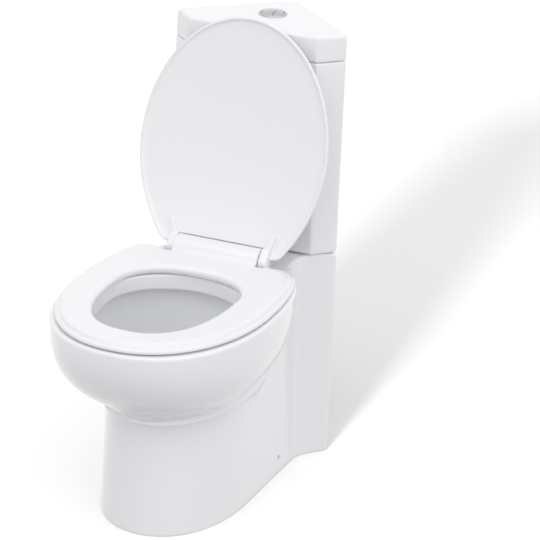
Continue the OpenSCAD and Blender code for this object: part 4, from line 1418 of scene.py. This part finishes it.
def build_seat(materials):
    plastic = materials["seat_plastic"]
    settle(make_seat(plastic), "seat", "seat_plastic", "seat_ring")
    settle(make_cover(plastic), "cover_body", "seat_plastic", "cover")
    settle(make_side_cap(-1, plastic), "base", "seat_plastic", "side_caps")
    settle(make_side_cap(1, plastic), "base", "seat_plastic")


def build_hardware(materials):
    """Threads and grips that the plain solids leave out."""
    thread = thread_tree()
    grip = grip_tree()
    bolts = [(-BOLT_X, VALVE_Y), (BOLT_X, VALVE_Y)]
    studs = [(-STUD_X, HINGE_Y), (STUD_X, HINGE_Y)]
    inlet = (INLET_X, INLET_Y)
    zinc = materials["zinc_steel"]
    white = materials["valve_plastic"]
    bolt_threads = make_thread("coupling_bolt_threads", thread, 3.75, DECK_LOW - 33, 20, 1.25, bolts, zinc)
    settle(bolt_threads, "base", "zinc_steel")
    stud_threads = make_thread("seat_stud_threads", thread, 3.15, PAN_HEIGHT - 59, 26, 1.25, studs, zinc)
    settle(stud_threads, "base", "zinc_steel")
    tail_thread = make_thread("inlet_tail_thread", thread, 10.1, PAN_HEIGHT - 57, 28, 1.8, [inlet], white)
    settle(tail_thread, "base", "valve_plastic")
    ribs = {
        "Radius": 16.0 * MM, "Rib size": Vector((1.2, 1.6, 8.4)) * MM, "Ribs": 36,
        "Centre": Vector((*inlet, TANK_FOOT - 5.3)) * MM}
    settle(grown("inlet_nut_grips", grip, ribs, white), "base", "valve_plastic")


# ---------------------------------------------------------------- floor, light and camera
def pick_by_ray(tree, bounce, shown, output):
    """Shows one shader to camera, mirror and glass rays, and another to rays that carry light on."""
    ray = tree.nodes.new("ShaderNodeLightPath")
    seen = maths(tree, "MAXIMUM", ray.outputs["Is Camera Ray"], ray.outputs["Is Glossy Ray"])
    seen = maths(tree, "MAXIMUM", seen, ray.outputs["Is Transmission Ray"])
    pick = tree.nodes.new("ShaderNodeMixShader")
    tree.links.new(seen, pick.inputs[0])
    tree.links.new(bounce.outputs[0], pick.inputs[1])
    tree.links.new(shown.outputs[0], pick.inputs[2])
    tree.links.new(pick.outputs[0], tree.nodes.new(output).inputs["Surface"])


def coloured(tree, kind, shade_of_grey):
    node = tree.nodes.new(kind)
    node.inputs["Color"].default_value = (shade_of_grey, shade_of_grey, shade_of_grey, 1)
    return node


def make_floor():
    """Wide plain floor: white to the camera, with the object's shadow on it."""
    side = 30000.0
    corners = [(-side, -side, 0), (side, -side, 0), (side, side, 0), (-side, side, 0)]
    floor = new_piece("floor", corners, [(0, 1, 2, 3)], None)
    floor.data.materials.clear()
    material = bpy.data.materials.new("floor_white")
    material.use_nodes = True
    tree = material.node_tree
    tree.nodes.clear()
    bounce = coloured(tree, "ShaderNodeBsdfDiffuse", FLOOR_BOUNCE)
    seen = coloured(tree, "ShaderNodeBsdfDiffuse", FLOOR_SHADE)
    glow = tree.nodes.new("ShaderNodeEmission")
    glow.inputs["Strength"].default_value = FLOOR_GLOW
    both = tree.nodes.new("ShaderNodeAddShader")
    tree.links.new(seen.outputs[0], both.inputs[0])
    tree.links.new(glow.outputs[0], both.inputs[1])
    pick_by_ray(tree, bounce, both, "ShaderNodeOutputMaterial")
    floor.data.materials.append(material)
    return floor


def make_world():
    """Even pale surroundings that light the object, white where the camera and reflections see them."""
    world = bpy.data.worlds.new("studio")
    bpy.context.scene.world = world
    world.use_nodes = True
    tree = world.node_tree
    tree.nodes.clear()
    around = coloured(tree, "ShaderNodeBackground", 1.0)
    around.inputs["Strength"].default_value = WORLD_LIGHT
    pick_by_ray(tree, around, coloured(tree, "ShaderNodeBackground", 1.0), "ShaderNodeOutputWorld")


def sun(name, azimuth, height, strength, spread):
    """Distant soft lamp; azimuth is measured from the front towards +x, and height up from the floor."""
    a, h = radians(azimuth), radians(height)
    towards = Vector((sin(a) * cos(h), -cos(a) * cos(h), sin(h)))
    data = bpy.data.lights.new(name, "SUN")
    data.energy = strength
    data.angle = radians(spread)
    lamp = bpy.data.objects.new(name, data)
    bpy.context.scene.collection.objects.link(lamp)
    lamp.rotation_euler = towards.to_track_quat("Z", "Y").to_euler()
    return lamp


def make_lights(floor):
    """Wide soft lamps, and a low front lamp that lights the floor alone and draws the long shadow."""
    sun("wide_right_light", 65.0, 30.0, SIDE_LIGHT, 70.0)
    sun("wide_front_light", 0.0, 45.0, FRONT_LIGHT, 60.0)
    low = sun("low_floor_light", 1.0, 19.0, FLOOR_LIGHT, 9.0)
    only_floor = bpy.data.collections.new("floor_only")
    only_floor.objects.link(floor)
    low.light_linking.receiver_collection = only_floor


def make_camera():
    """Camera at the photograph's angle."""
    turn, tilt, roll = radians(CAMERA_TURN), radians(CAMERA_TILT), radians(CAMERA_ROLL)
    back = Vector((sin(turn) * cos(tilt), -cos(turn) * cos(tilt), sin(tilt)))
    level = Vector((cos(turn), sin(turn), 0))
    upward = back.cross(level)
    right = cos(roll) * level + sin(roll) * upward
    up = -sin(roll) * level + cos(roll) * upward
    data = bpy.data.cameras.new("camera")
    data.sensor_fit = "HORIZONTAL"
    data.sensor_width = 36.0
    data.lens = data.sensor_width * FOCAL_PIXELS / IMAGE_SIDE
    data.shift_x = (IMAGE_SIDE / 2 - CENTRE_PIXEL[0]) / IMAGE_SIDE
    data.shift_y = (CENTRE_PIXEL[1] - IMAGE_SIDE / 2) / IMAGE_SIDE
    data.clip_end = 200.0
    camera = bpy.data.objects.new("camera", data)
    bpy.context.scene.collection.objects.link(camera)
    place = Matrix((right, up, back)).transposed().to_4x4()
    place.translation = Vector(CAMERA_PLACE) * MM
    camera.matrix_world = place
    bpy.context.scene.camera = camera


bpy.context.scene.view_settings.view_transform = "Standard"
finishes = slot_materials()
dress_nodes(finishes)
build_ceramics(finishes)
build_buttons(finishes)
build_seat(finishes)
build_hardware(finishes)
ground = make_floor()
make_world()
make_lights(ground)
make_camera()
